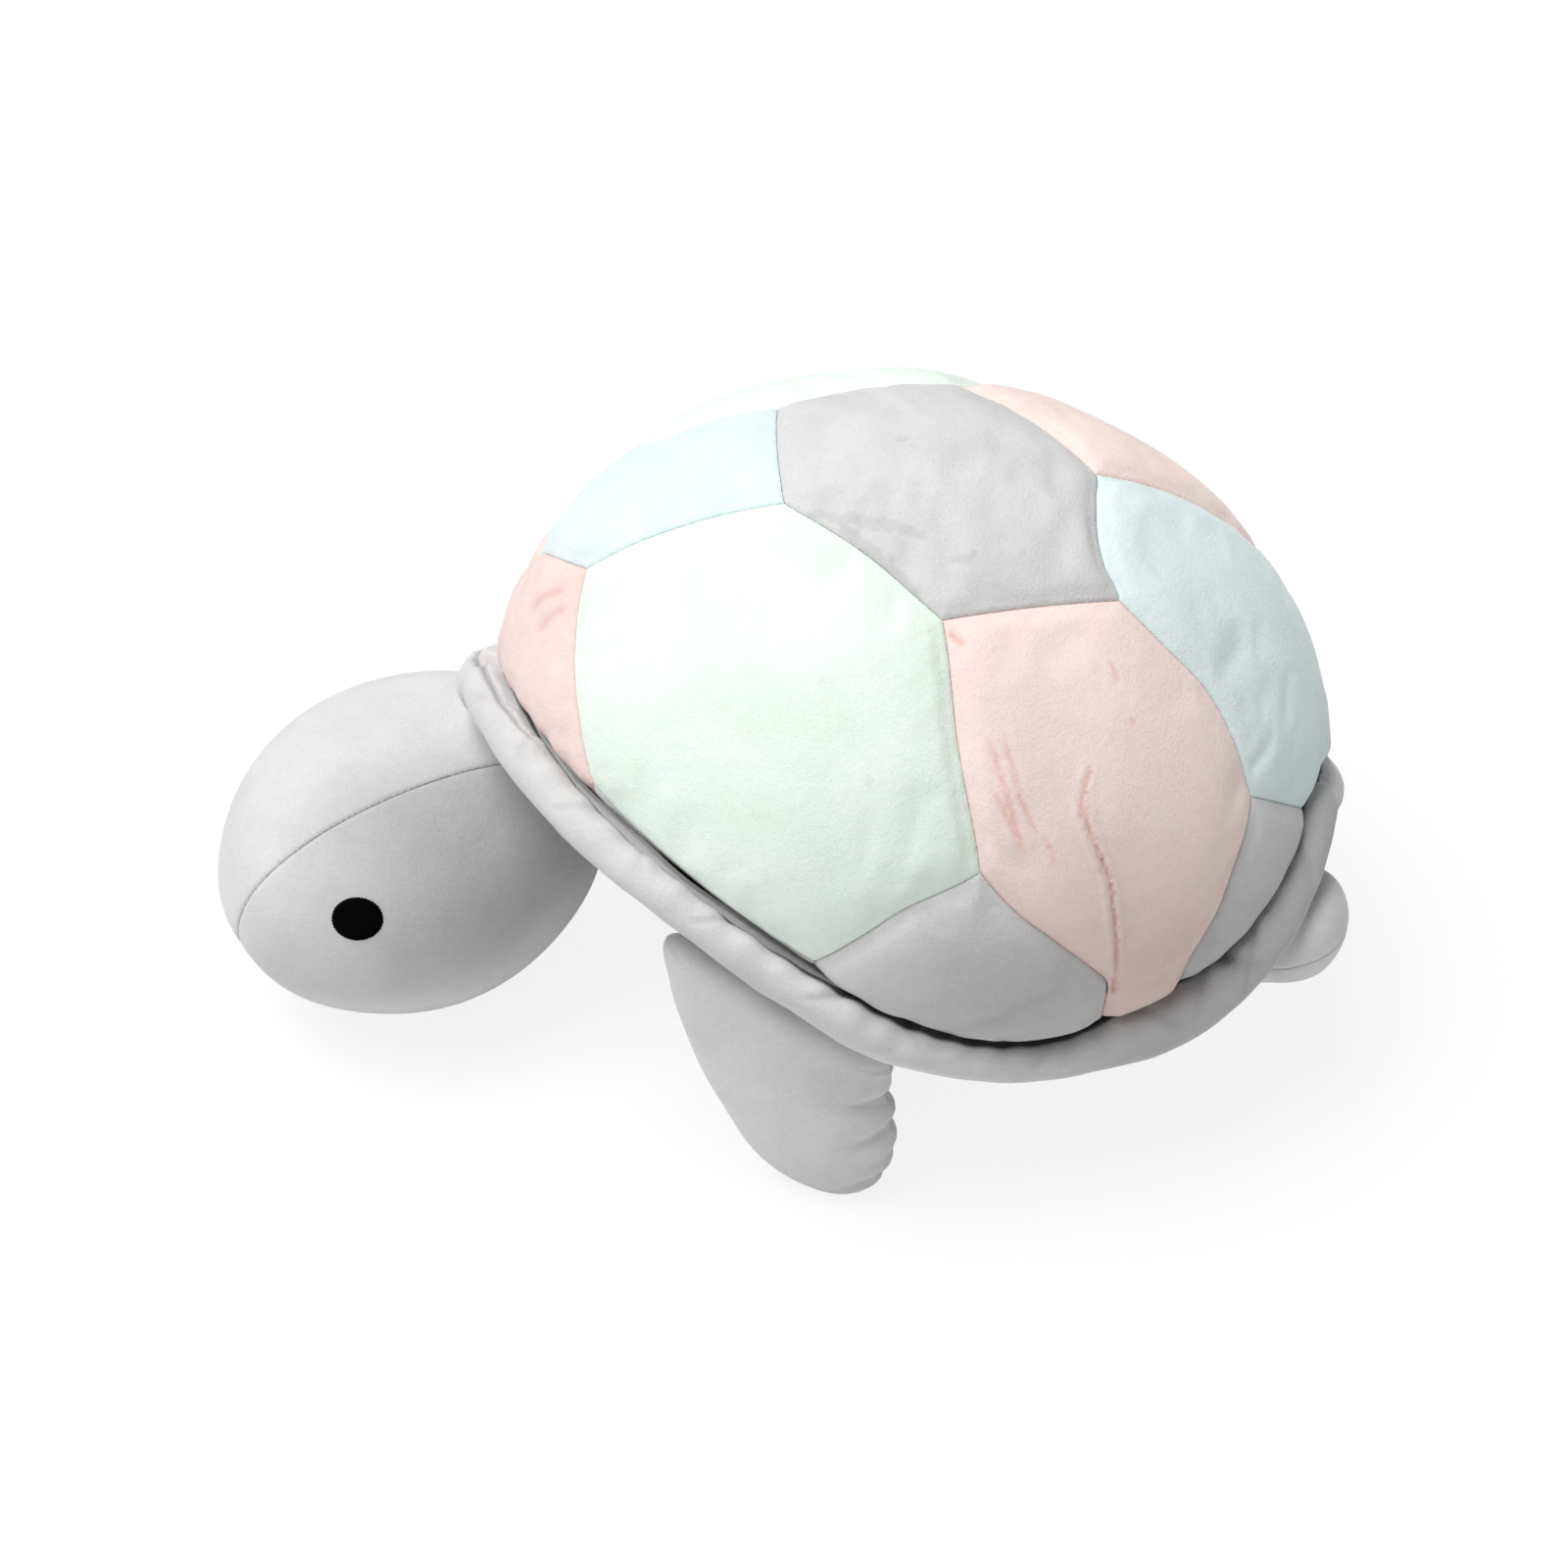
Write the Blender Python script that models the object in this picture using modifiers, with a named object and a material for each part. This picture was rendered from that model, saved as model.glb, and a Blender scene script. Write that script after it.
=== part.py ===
"""Plush turtle: a patchwork shell, a rolled rim, a ball of a head and four flippers.

Metres, +Z up. The toy faces -Y, its left side is +X and the floor is Z = 0.
Every fabric piece is a thin cover over its own loose fibre fill. The covers
are cut along their seams, so each cut of fabric is a solid of its own.
"""

import math

import bmesh
import bpy
from mathutils import Matrix, Vector

mm = 0.001

# Fabric, seams and fits
fabric = 2.0 * mm
fill_gap = 0.4 * mm
body_fill_gap = 1.0 * mm
socket_gap = 0.9 * mm
neck_gap = 0.65 * mm
seam_gap = 0.5 * mm
floor_cut = 0.5 * mm

# Shell: an ellipsoid, longest from nose to tail, propped up at the front
shell_half_length = 148.0 * mm
shell_half_width = 121.0 * mm
shell_half_height = 127.0 * mm
shell_pitch = math.radians(6.5)
shell_centre_height = 112.0 * mm
panel_crown = 1.8 * mm
crown_width = 24.0 * mm

# Rim: the stuffed roll lies in a groove round the edge of the shell, low at the
# sides and right of the head, where it is thin, and high where the head lifts it.
# Heights are shares of the shell's half height, at angles in degrees from the
# front round to the rear, by way of the left (positive) or the right (negative).
rim_height_shares = (
    (-180, 0.14), (-165, 0.05), (-150, -0.01), (-130, -0.12), (-110, -0.20),
    (-90, -0.12), (-70, 0.0), (-50, 0.05), (-40, -0.07), (-30, -0.20), (-20, -0.26), (-8, -0.13),
    (4, 0.0), (16, 0.10), (30, 0.166), (45, 0.17), (60, 0.138), (80, 0.0),
    (95, -0.17), (110, -0.275), (125, -0.25), (145, -0.13), (160, 0.07),
    (170, 0.19), (180, 0.14),
)
rim_roll_radius = 9.0 * mm
roll_size_shares = (
    (-180, 1), (-75, 1), (-50, 0.8), (-30, 0.62), (-4, 0.62), (2, 0.85), (8, 1), (180, 1),
)
roll_stand_out = 3.4 * mm
rim_groove = 9.0 * mm
groove_lip = 3.8 * mm
groove_width = 10.0 * mm
hem_gap = 2.4 * mm

# Belly: drawn in under the rim, lowest a little ahead of the shell's middle
belly_tuck_share = 0.18
belly_flat_share = 0.8
belly_forward = 14.0 * mm

# Head: a ball turned to the toy's left, nose down, with its chin on the floor
head_half_width = 62.5 * mm
head_half_length = 72.5 * mm
head_half_height = 60.0 * mm
head_side = 32.4 * mm
head_reach = 32.4 * mm
head_forward = shell_half_length + head_reach
head_yaw = math.radians(28)
head_pitch = math.radians(17)
head_roll = math.radians(-8)
gusset_start_share = 0.18
gusset_spread_share = 0.46
eye_place_shares = (0.877, -0.295, 0.378)
eye_width = 19.0 * mm
eye_height = 16.5 * mm
eye_thickness = 1.2 * mm

# Neck: a stuffed ball between head and body, about which the head nods and turns
neck_radius = 36.0 * mm
neck_lever = 45.0 * mm
neck_way_shares = (-0.30, 0.867, 0.395)
head_swing_room = 8.0 * mm

# Front flippers: hung from the side seam, swept back, tips on the floor
front_root_half_width = 44.0 * mm
front_root_radius = 13.0 * mm
front_length = 78.0 * mm
front_thickness = 33.0 * mm
front_inset = 10.5 * mm
front_out = shell_half_width - front_inset
front_ahead = 28.0 * mm
front_height = 85.0 * mm
front_slope = math.radians(27)
front_toe_in = math.radians(9.5)
front_flare = math.radians(4)
front_sweep_shares = ((0, 0.03), (0.2, 0.25), (0.42, 0.49), (0.67, 0.75), (0.83, 0.89), (1, 0.97))
front_width_shares = ((0, 1), (0.3, 1.0), (0.6, 1.05), (0.85, 1.13), (1, 1.2))
front_thickness_shares = ((0, 0.79), (0.3, 1.0), (0.6, 1.12), (0.85, 1.2), (1, 1.2))

# Rear flippers: short lobes that point back from under the rim
rear_root_half_width = 25.0 * mm
rear_root_radius = 14.0 * mm
rear_length = 46.0 * mm
rear_thickness = 37.0 * mm
rear_out = 35.0 * mm
rear_inset = 32.0 * mm
rear_behind = shell_half_length - rear_inset
rear_height = 71.0 * mm
rear_splay = math.radians(4)
rear_sweep_shares = ((0, 0), (1, 0))
rear_width_shares = ((0, 1), (0.3, 1.03), (0.7, 1.14), (1, 1.24))
rear_thickness_shares = ((0, 0.757), (0.3, 0.95), (0.7, 1.08), (1, 1.15))

# Seam corners of the patchwork: how far down from the top of the shell, and how
# far round from the front towards the toy's left, in degrees as shares of a turn
corner_turn_shares = {
    "top_front_right": (30.5, -32.4),
    "top_front_left": (23.3, 27.2),
    "top_left": (28.6, 95.1),
    "top_rear_left": (29.6, 147.3),
    "top_rear_right": (21.5, -152.5),
    "top_right": (30.0, -86.0),
    "blue_front_left": (54.0, 15.2),
    "blue_front_tip": (70.2, -3.3),
    "blue_front_right": (54.0, -19.5),
    "mint_pink_left": (66.1, 104.0),
    "mint_front_left": (74.9, 47.0),
    "mint_foot_left": (86.8, 83.9),
    "pink_blue_left": (65.1, 150.9),
    "mint_pink_right": (66.0, -102.0),
    "mint_front_right": (74.9, -50.0),
    "mint_foot_right": (86.8, -85.0),
    "pink_blue_right": (65.0, -150.0),
    "below_front": (125, -3.0),
    "below_mint_front_left": (125, 44.0),
    "below_mint_foot_left": (125, 86.0),
    "pink_foot_left": (98, 131.4),
    "below_pink_left": (125, 131.0),
    "below_mint_front_right": (125, -48.0),
    "below_mint_foot_right": (125, -87.0),
    "pink_foot_right": (98, -131.0),
    "below_pink_right": (125, -131.0),
    "blue_foot": (91.5, 180.0),
    "below_rear": (125, 180.0),
}

# Each cut of shell fabric: its corners in order, and its colour
shell_panels = {
    "top_panel": ("grey", (
        "top_front_right", "top_front_left", "top_left",
        "top_rear_left", "top_rear_right", "top_right")),
    "front_blue_panel": ("blue", (
        "top_front_right", "top_front_left", "blue_front_left",
        "blue_front_tip", "blue_front_right")),
    "left_mint_panel": ("mint", (
        "top_front_left", "top_left", "mint_pink_left",
        "mint_foot_left", "mint_front_left", "blue_front_left")),
    "left_pink_panel": ("pink", (
        "top_left", "top_rear_left", "pink_blue_left",
        "pink_foot_left", "mint_pink_left")),
    "rear_blue_panel": ("blue", (
        "top_rear_left", "top_rear_right", "pink_blue_right",
        "blue_foot", "pink_blue_left")),
    "right_pink_panel": ("pink", (
        "top_rear_right", "top_right", "mint_pink_right",
        "pink_foot_right", "pink_blue_right")),
    "right_mint_panel": ("mint", (
        "top_right", "top_front_right", "blue_front_right",
        "mint_front_right", "mint_foot_right", "mint_pink_right")),
    "front_left_pink_panel": ("pink", (
        "blue_front_tip", "blue_front_left", "mint_front_left",
        "below_mint_front_left", "below_front")),
    "front_right_pink_panel": ("pink", (
        "blue_front_tip", "blue_front_right", "mint_front_right",
        "below_mint_front_right", "below_front")),
    "left_edge_strip": ("grey", (
        "mint_front_left", "mint_foot_left",
        "below_mint_foot_left", "below_mint_front_left")),
    "right_edge_strip": ("grey", (
        "mint_front_right", "mint_foot_right",
        "below_mint_foot_right", "below_mint_front_right")),
    "left_side_panel": ("grey", (
        "mint_foot_left", "mint_pink_left", "pink_foot_left",
        "below_pink_left", "below_mint_foot_left")),
    "right_side_panel": ("grey", (
        "mint_foot_right", "mint_pink_right", "pink_foot_right",
        "below_pink_right", "below_mint_foot_right")),
    "left_rear_panel": ("grey", (
        "pink_blue_left", "blue_foot", "below_rear",
        "below_pink_left", "pink_foot_left")),
    "right_rear_panel": ("grey", (
        "pink_blue_right", "blue_foot", "below_rear",
        "below_pink_right", "pink_foot_right")),
}

# Mesh counts
round_steps = 48
shell_rings = 8
belly_rings = 5
roll_steps = round_steps
head_steps = 24
head_rings = 14
flipper_steps = 16
flipper_rings = 10
neck_steps = 30
neck_rings = 16
eye_steps = 20

# Colours, roughness
finishes = {
    "grey": ((0.66, 0.67, 0.66), 0.95),
    "blue": ((0.72, 0.84, 0.87), 0.95),
    "mint": ((0.77, 0.90, 0.79), 0.95),
    "pink": ((0.86, 0.68, 0.63), 0.95),
    "fibre": ((0.90, 0.90, 0.88), 1.0),
    "thread": ((0.01, 0.01, 0.01), 0.8),
}


# Scene, materials and placing

def clear_scene():
    for thing in list(bpy.data.objects):
        bpy.data.objects.remove(thing, do_unlink=True)


def make_collection(name):
    collection = bpy.data.collections.new(name)
    bpy.context.scene.collection.children.link(collection)
    return collection


def make_material(name):
    colour, roughness = finishes[name]
    material = bpy.data.materials.new(name)
    material.use_nodes = True
    shader = material.node_tree.nodes["Principled BSDF"]
    shader.inputs["Base Color"].default_value = (*colour, 1.0)
    shader.inputs["Roughness"].default_value = roughness
    shader.inputs["Metallic"].default_value = 0.0
    return material


def make_empty(name, place, parent=None):
    empty = bpy.data.objects.new(name, None)
    turtle.objects.link(empty)
    empty.parent = parent
    empty.location = place - (parent.location if parent else Vector())
    return empty


def add_piece(name, bm, material_name, carrier):
    """A named piece whose own origin is its carrier's, so it turns with it."""
    bm.transform(Matrix.Translation(-carrier_place(carrier)))
    mesh = bpy.data.meshes.new(name)
    bm.to_mesh(mesh)
    bm.free()
    mesh.shade_smooth()
    mesh.materials.append(make_material_once(material_name))
    piece = bpy.data.objects.new(name, mesh)
    turtle.objects.link(piece)
    piece.parent = carrier
    return piece


def add_cutter(name, bm):
    mesh = bpy.data.meshes.new(name)
    bm.to_mesh(mesh)
    bm.free()
    cutter = bpy.data.objects.new(name, mesh)
    cutters.objects.link(cutter)
    cutter.parent = toy
    cutter.hide_render = True
    cutter.display_type = "WIRE"
    return cutter


def carrier_place(carrier):
    """Where an empty stands before the finished toy is centred."""
    place = Vector()
    while carrier:
        place += carrier.location
        carrier = carrier.parent
    return place


def make_material_once(name):
    return bpy.data.materials.get(name) or make_material(name)


def cut_away(piece, cutter):
    cut = piece.modifiers.new("cut_by_" + cutter.name, "BOOLEAN")
    cut.operation = "DIFFERENCE"
    cut.solver = "EXACT"
    cut.object = cutter


def line_with_fabric(piece):
    """Thicken an open surface inwards to the fabric's thickness."""
    cloth = piece.modifiers.new("fabric", "SOLIDIFY")
    cloth.thickness = fabric
    cloth.offset = -1.0


# Shared shapes

def smooth_share(table, place):
    """Read a table of (place, share) along a smooth curve, level at its ends."""
    slopes = [0.0]
    for before, after in zip(table, table[2:]):
        slopes.append((after[1] - before[1]) / (after[0] - before[0]))
    slopes.append(0.0)
    for index, (start, end) in enumerate(zip(table, table[1:])):
        if place <= end[0]:
            span = end[0] - start[0]
            t = (place - start[0]) / span
            rise = (2 * t**3 - 3 * t**2 + 1) * start[1] + (3 * t**2 - 2 * t**3) * end[1]
            lean = (t**3 - 2 * t**2 + t) * slopes[index] + (t**3 - t**2) * slopes[index + 1]
            return rise + span * lean
    return table[-1][1]


def push_in(bm, depth):
    """Move a closed surface inwards along its normals."""
    bm.normal_update()
    for vert, normal in [(v, v.normal.copy()) for v in bm.verts]:
        vert.co -= depth * normal


def stand_on_floor(bm, floor=0.0):
    for vert in bm.verts:
        vert.co.z = max(vert.co.z, floor)


def ball(place, half_sizes, steps, rings):
    bm = bmesh.new()
    bmesh.ops.create_uvsphere(bm, u_segments=steps, v_segments=rings, radius=1.0)
    bmesh.ops.triangulate(bm, faces=bm.faces, quad_method="FIXED")
    for vert in bm.verts:
        vert.co = place + Vector(a * b for a, b in zip(vert.co, half_sizes))
    return bm


# Shell and belly

def shell_point(down, around):
    """A point of the shell, from its angle down from the top and round from the front."""
    local = Vector((
        shell_half_width * math.sin(down) * math.sin(around),
        -shell_half_length * math.sin(down) * math.cos(around),
        shell_half_height * math.cos(down)))
    return shell_centre + shell_turn @ local


def shell_angles(point):
    """The angles of shell_point() for any point on or near the shell."""
    local = shell_turn.inverted() @ (point - shell_centre)
    side = local.x / shell_half_width
    front = -local.y / shell_half_length
    return math.atan2(math.hypot(side, front), local.z / shell_half_height), math.atan2(side, front)


def shell_normal(point):
    local = shell_turn.inverted() @ (point - shell_centre)
    steep = Vector((
        local.x / shell_half_width**2,
        local.y / shell_half_length**2,
        local.z / shell_half_height**2))
    return (shell_turn @ steep).normalized()


def rim_down(around):
    """The angle down at which the shell's fabric ends, at the bottom of the groove."""
    return math.acos(smooth_share(rim_height_shares, math.degrees(around)))


def shell_ring_point(ring, around, trim=0.0):
    """A point of the shell's last ring, in the groove, or of an earlier one."""
    if ring == shell_rings:
        down = rim_down(around) - trim / shell_half_height
        inset = rim_groove
    else:
        lip_down = rim_down(around) - groove_width / shell_half_height
        down = lip_down * ring / (shell_rings - 1)
        inset = groove_lip if ring == shell_rings - 1 else 0.0
    point = shell_point(down, around)
    return point - shell_normal(point) * inset


def belly_point(share, around, rim_point):
    """A point of the belly, from 0 at the rim to 1 at the middle, flat on the floor."""
    sweep = share * math.pi / 2
    reach = math.cos(sweep) * (1 - belly_tuck_share * math.sin(2 * sweep))
    centre = Vector((0.0, -belly_forward, 0.0))
    flat = Vector((rim_point.x, rim_point.y, 0.0))
    point = centre + (flat - centre) * reach
    descent = math.sin(min(sweep / belly_flat_share, math.pi / 2))
    point.z = rim_point.z - (rim_point.z + floor_cut) * descent
    return point


def body_surface(first_ring, last_ring, first_trim=0.0, last_trim=0.0):
    """The body from one ring to another, rings counted down from the top.

    A unit sphere's rings are spread over the shell as far as the rim, then
    over the belly. A trim draws the first or last ring back from its edge.
    """
    all_rings = shell_rings + belly_rings
    bm = bmesh.new()
    bmesh.ops.create_uvsphere(bm, u_segments=round_steps, v_segments=all_rings, radius=1.0)
    bmesh.ops.triangulate(bm, faces=bm.faces, quad_method="FIXED")
    ring_of = {}
    outside = []
    for vert in bm.verts:
        ring = round(math.acos(max(-1.0, min(1.0, vert.co.z))) / math.pi * all_rings)
        if first_ring <= ring <= last_ring:
            ring_of[vert] = ring
        else:
            outside.append(vert)
    bmesh.ops.delete(bm, geom=outside, context="VERTS")
    for vert, ring in ring_of.items():
        around = math.atan2(vert.co.x, -vert.co.y)
        if ring <= shell_rings:
            point = shell_ring_point(ring, around, last_trim if ring == last_ring else 0.0)
            if ring == first_ring:
                point.z -= first_trim
        else:
            share = (ring - shell_rings) / belly_rings
            point = belly_point(share, around, shell_ring_point(shell_rings, around))
        vert.co = point
    stand_on_floor(bm)
    return bm


def corner_point(name):
    down, around = corner_turn_shares[name]
    return shell_point(math.radians(down), math.radians(around))


def crown_out(bm, seams):
    """Let a panel swell between its seams, which hold it down."""
    for vert in bm.verts:
        down, around = shell_angles(vert.co)
        room = (rim_down(around) - down) * shell_half_height
        for place, inward in seams:
            room = min(room, (vert.co - place).dot(inward))
        share = min(max(room / crown_width, 0.0), 1.0)
        vert.co += shell_normal(vert.co) * panel_crown * (1 - (1 - share)**2)


def make_shell_panel(name, colour, corners):
    bm = body_surface(0, shell_rings, last_trim=hem_gap / 2)
    bmesh.ops.solidify(bm, geom=bm.faces, thickness=fabric)
    points = [corner_point(corner) for corner in corners]
    middle = sum(points, Vector()) / len(points)
    seams = []
    for start, end in zip(points, points[1:] + points[:1]):
        inward = (end - shell_centre).cross(start - shell_centre).normalized()
        if inward.dot(middle - shell_centre) < 0:
            inward.negate()
        place = shell_centre + inward * seam_gap / 2
        cut_flat(bm, place, inward)
        seams.append((place, inward))
    crown_out(bm, seams)
    return add_piece(name, bm, colour, toy)


def make_rim_roll():
    """The stuffed roll: a closed tube that lies in the groove all the way round."""
    curve = bpy.data.curves.new("rim_roll", "CURVE")
    curve.dimensions = "3D"
    curve.bevel_depth = rim_roll_radius
    curve.bevel_resolution = 2
    curve.resolution_u = 1
    line = curve.splines.new("POLY")
    line.points.add(roll_steps - 1)
    for index, point in enumerate(line.points):
        around = (index / roll_steps * 2 - 1) * math.pi
        edge = shell_point(rim_down(around), around)
        point.radius = smooth_share(roll_size_shares, math.degrees(around))
        out = roll_stand_out - rim_roll_radius * (1 - point.radius)
        point.co = (*(edge + shell_normal(edge) * out), 1.0)
    line.use_cyclic_u = True
    tube = bpy.data.objects.new("rim_roll_tube", curve)
    turtle.objects.link(tube)
    graph = bpy.context.evaluated_depsgraph_get()
    bm = bmesh.new()
    bm.from_mesh(bpy.data.meshes.new_from_object(tube.evaluated_get(graph)))
    bpy.data.objects.remove(tube)
    bmesh.ops.remove_doubles(bm, verts=bm.verts, dist=weld)
    return add_piece("rim_roll", bm, "grey", toy)


def make_body(sockets):
    """The fill inside shell and belly, and the belly's fabric, cut by the limbs."""
    bm = body_surface(0, shell_rings + belly_rings)
    push_in(bm, fabric + body_fill_gap)
    fill = add_piece("body_fill", bm, "fibre", toy)
    bm = body_surface(shell_rings, shell_rings + belly_rings, first_trim=hem_gap / 2)
    belly = add_piece("belly_panel", bm, "grey", toy)
    line_with_fabric(belly)
    for socket in sockets:
        cut_away(fill, socket)
        cut_away(belly, socket)


# Head and neck

def head_ball(grow=0.0):
    bm = ball(Vector(), (head_half_width + grow, head_half_length + grow, head_half_height + grow),
              head_steps, head_rings)
    bm.transform(head_frame)
    return bm


def cut_flat(bm, place, normal):
    """Keep what lies ahead of a plane and close the cut."""
    everything = list(bm.verts) + list(bm.edges) + list(bm.faces)
    cut = bmesh.ops.bisect_plane(bm, geom=everything, dist=weld, plane_co=place,
                                 plane_no=normal, clear_inner=True)
    edges = [item for item in cut["geom_cut"] if isinstance(item, bmesh.types.BMEdge)]
    bmesh.ops.triangle_fill(bm, edges=edges, use_beauty=True)
    bmesh.ops.recalc_face_normals(bm, faces=bm.faces)


def gusset_plane(side):
    """The seam beside the top gusset, on the toy's left (1) or right (-1)."""
    place = head_frame @ Vector((side * gusset_start_share * head_half_width, 0.0, 0.0))
    outward = Vector((side, 0.0, -gusset_spread_share * head_half_width / head_half_height))
    return place, (head_frame.to_3x3() @ outward).normalized()


def make_head(lining, neck_room):
    left_place, left_out = gusset_plane(1)
    right_place, right_out = gusset_plane(-1)
    middle, middle_out = head_frame.translation.copy(), head_frame.to_3x3() @ Vector((1.0, 0.0, 0.0))
    half_seam = seam_gap / 2
    cuts = {
        "head_top_gusset": (
            (left_place - left_out * half_seam, -left_out),
            (right_place - right_out * half_seam, -right_out)),
        "head_left_side": (
            (left_place + left_out * half_seam, left_out),
            (middle + middle_out * half_seam, middle_out)),
        "head_right_side": (
            (right_place + right_out * half_seam, right_out),
            (middle - middle_out * half_seam, -middle_out)),
    }
    for name, planes in cuts.items():
        bm = head_ball()
        for place, normal in planes:
            cut_flat(bm, place, normal)
        stand_on_floor(bm)
        cover = add_piece(name, bm, "grey", head)
        cut_away(cover, lining)
        cut_away(cover, neck_room)
    bm = head_ball()
    stand_on_floor(bm)
    push_in(bm, fabric + fill_gap)
    fill = add_piece("head_fill", bm, "fibre", head)
    cut_away(fill, neck_room)


def make_eye(name, side):
    """A satin-stitched oval that follows the curve of the head."""
    across, along, up = eye_place_shares
    direction = Vector((
        side * across * head_half_width,
        along * head_half_length,
        up * head_half_height)).normalized()
    bm = bmesh.new()
    bmesh.ops.create_circle(bm, cap_ends=True, cap_tris=True, segments=eye_steps, radius=1.0)
    bmesh.ops.subdivide_edges(bm, edges=[e for e in bm.edges if not e.is_boundary], cuts=1)
    bmesh.ops.triangulate(bm, faces=bm.faces)
    turn = direction.to_track_quat("Z", "Y")
    for vert in bm.verts:
        flat = Vector((vert.co.x * eye_width / 2, vert.co.y * eye_height / 2, 0.0))
        ray = direction * head_half_width + turn @ flat
        reach = math.sqrt((ray.x / head_half_width)**2 + (ray.y / head_half_length)**2
                          + (ray.z / head_half_height)**2)
        surface = ray / reach
        vert.co = surface + surface.normalized() * fill_gap
    bm.transform(head_frame)
    eye = add_piece(name, bm, "thread", head)
    stitch = eye.modifiers.new("stitching", "SOLIDIFY")
    stitch.thickness = eye_thickness
    stitch.offset = 1.0
    return eye


# Flippers

def flipper_form(frame, sizes, grow=0.0):
    """A stuffed paddle. Its root turns about the frame's own X axis.

    The frame's X runs along the root seam, Y out through the fabric and Z from
    root to tip. The root end is half an ellipsoid of revolution about X.
    """
    half_width, root_radius, length, thickness, sweeps, widths, depths = sizes
    bm = bmesh.new()
    bmesh.ops.create_uvsphere(bm, u_segments=flipper_steps, v_segments=flipper_rings, radius=1.0)
    bmesh.ops.triangulate(bm, faces=bm.faces, quad_method="FIXED")
    for vert in bm.verts:
        across, out, lengthwise = vert.co
        ring = math.sqrt(max(1 - lengthwise**2, 0.0))
        across, out = (across / ring, out / ring) if ring > weld else (0.0, 0.0)
        if lengthwise < 0:
            sweep, width, depth = sweeps[0][1] * half_width, ring, ring * depths[0][1]
            place = lengthwise * root_radius
        else:
            share = lengthwise
            sweep = smooth_share(sweeps, share) * half_width
            width, depth = ring * smooth_share(widths, share), ring * smooth_share(depths, share)
            place = share * length
        vert.co = Vector((
            sweep + across * (width * half_width),
            out * depth * thickness / 2,
            place))
    if grow:
        push_in(bm, -grow)
    bm.transform(frame)
    if frame.determinant() < 0:
        bmesh.ops.reverse_faces(bm, faces=bm.faces)
    return bm


def front_frame(side):
    """Root at the side seam, sloping down to the rear; blade hanging to the floor."""
    frame = Matrix.Translation((side * front_out, -front_ahead, front_height))
    lean = Matrix.Rotation(side * -front_toe_in, 4, "Z") @ Matrix.Rotation(-front_slope, 4, "X")
    axes = Matrix(((0, side, 0), (1, 0, 0), (0, 0, -1))).to_4x4()
    return frame @ lean @ axes @ Matrix.Rotation(-front_flare, 4, "X")


def rear_frame(side):
    """Root under the rear rim; lobe pointing back."""
    frame = Matrix.Translation((side * rear_out, rear_behind, rear_height))
    axes = Matrix(((1, 0, 0), (0, 0, 1), (0, -1, 0))).to_4x4()
    return frame @ Matrix.Rotation(-side * rear_splay, 4, "Z") @ axes


def make_flipper(name, frame, sizes, halves):
    """Two cuts of fabric sewn round the edge, over a fill, on a hinge at the root."""
    root = make_empty(name + "_root", frame.translation, toy)
    bm = flipper_form(frame, sizes)
    stand_on_floor(bm)
    push_in(bm, fabric)
    lining = add_cutter(name + "_lining", bm)
    middle = frame.translation
    outward = (frame.to_3x3() @ Vector((0.0, 1.0, 0.0))).normalized()
    for half, way in zip(halves, (1, -1)):
        bm = flipper_form(frame, sizes)
        cut_flat(bm, middle + outward * way * seam_gap / 2, outward * way)
        stand_on_floor(bm)
        cover = add_piece(name + "_" + half, bm, "grey", root)
        cut_away(cover, lining)
    bm = flipper_form(frame, sizes)
    stand_on_floor(bm)
    push_in(bm, fabric + fill_gap)
    add_piece(name + "_fill", bm, "fibre", root)
    return add_cutter(name + "_socket", flipper_form(frame, sizes, grow=socket_gap))


# The toy

weld = 0.01 * mm
shell_centre = Vector((0.0, 0.0, shell_centre_height))
shell_turn = Matrix.Rotation(-shell_pitch, 3, "X")
head_frame = (Matrix.Translation((head_side, -head_forward, 0.0))
              @ Matrix.Rotation(head_yaw, 4, "Z")
              @ Matrix.Rotation(head_pitch, 4, "X")
              @ Matrix.Rotation(head_roll, 4, "Y"))


def centre_over_origin():
    """Stand the toy on the floor with the middle of its plan over the origin."""
    graph = bpy.context.evaluated_depsgraph_get()
    corners = []
    for piece in turtle.objects:
        if piece.type == "MESH":
            built = piece.evaluated_get(graph)
            corners += [built.matrix_world @ Vector(corner) for corner in built.bound_box]
    low = [min(corner[axis] for corner in corners) for axis in range(3)]
    high = [max(corner[axis] for corner in corners) for axis in range(3)]
    toy.location = (-(low[0] + high[0]) / 2, -(low[1] + high[1]) / 2, -low[2])


chin_depth = -min(vert.co.z for vert in head_ball().verts)
head_frame.translation.z = chin_depth - floor_cut
neck_place = head_frame.translation + neck_lever * Vector(neck_way_shares).normalized()

front_sizes = (front_root_half_width, front_root_radius, front_length, front_thickness,
               front_sweep_shares, front_width_shares, front_thickness_shares)
rear_sizes = (rear_root_half_width, rear_root_radius, rear_length, rear_thickness,
              rear_sweep_shares, rear_width_shares, rear_thickness_shares)

clear_scene()
turtle = make_collection("plush_turtle")
cutters = make_collection("cutters")
toy = make_empty("toy", Vector())
neck_joint = make_empty("neck_joint", neck_place, toy)
head = make_empty("head", neck_place, neck_joint)

for panel_name, (panel_colour, panel_corners) in shell_panels.items():
    make_shell_panel(panel_name, panel_colour, panel_corners)
make_rim_roll()

body_sockets = [
    make_flipper("front_left_flipper", front_frame(1), front_sizes, ("outer", "inner")),
    make_flipper("front_right_flipper", front_frame(-1), front_sizes, ("outer", "inner")),
    make_flipper("rear_left_flipper", rear_frame(1), rear_sizes, ("bottom", "top")),
    make_flipper("rear_right_flipper", rear_frame(-1), rear_sizes, ("bottom", "top")),
]

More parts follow.
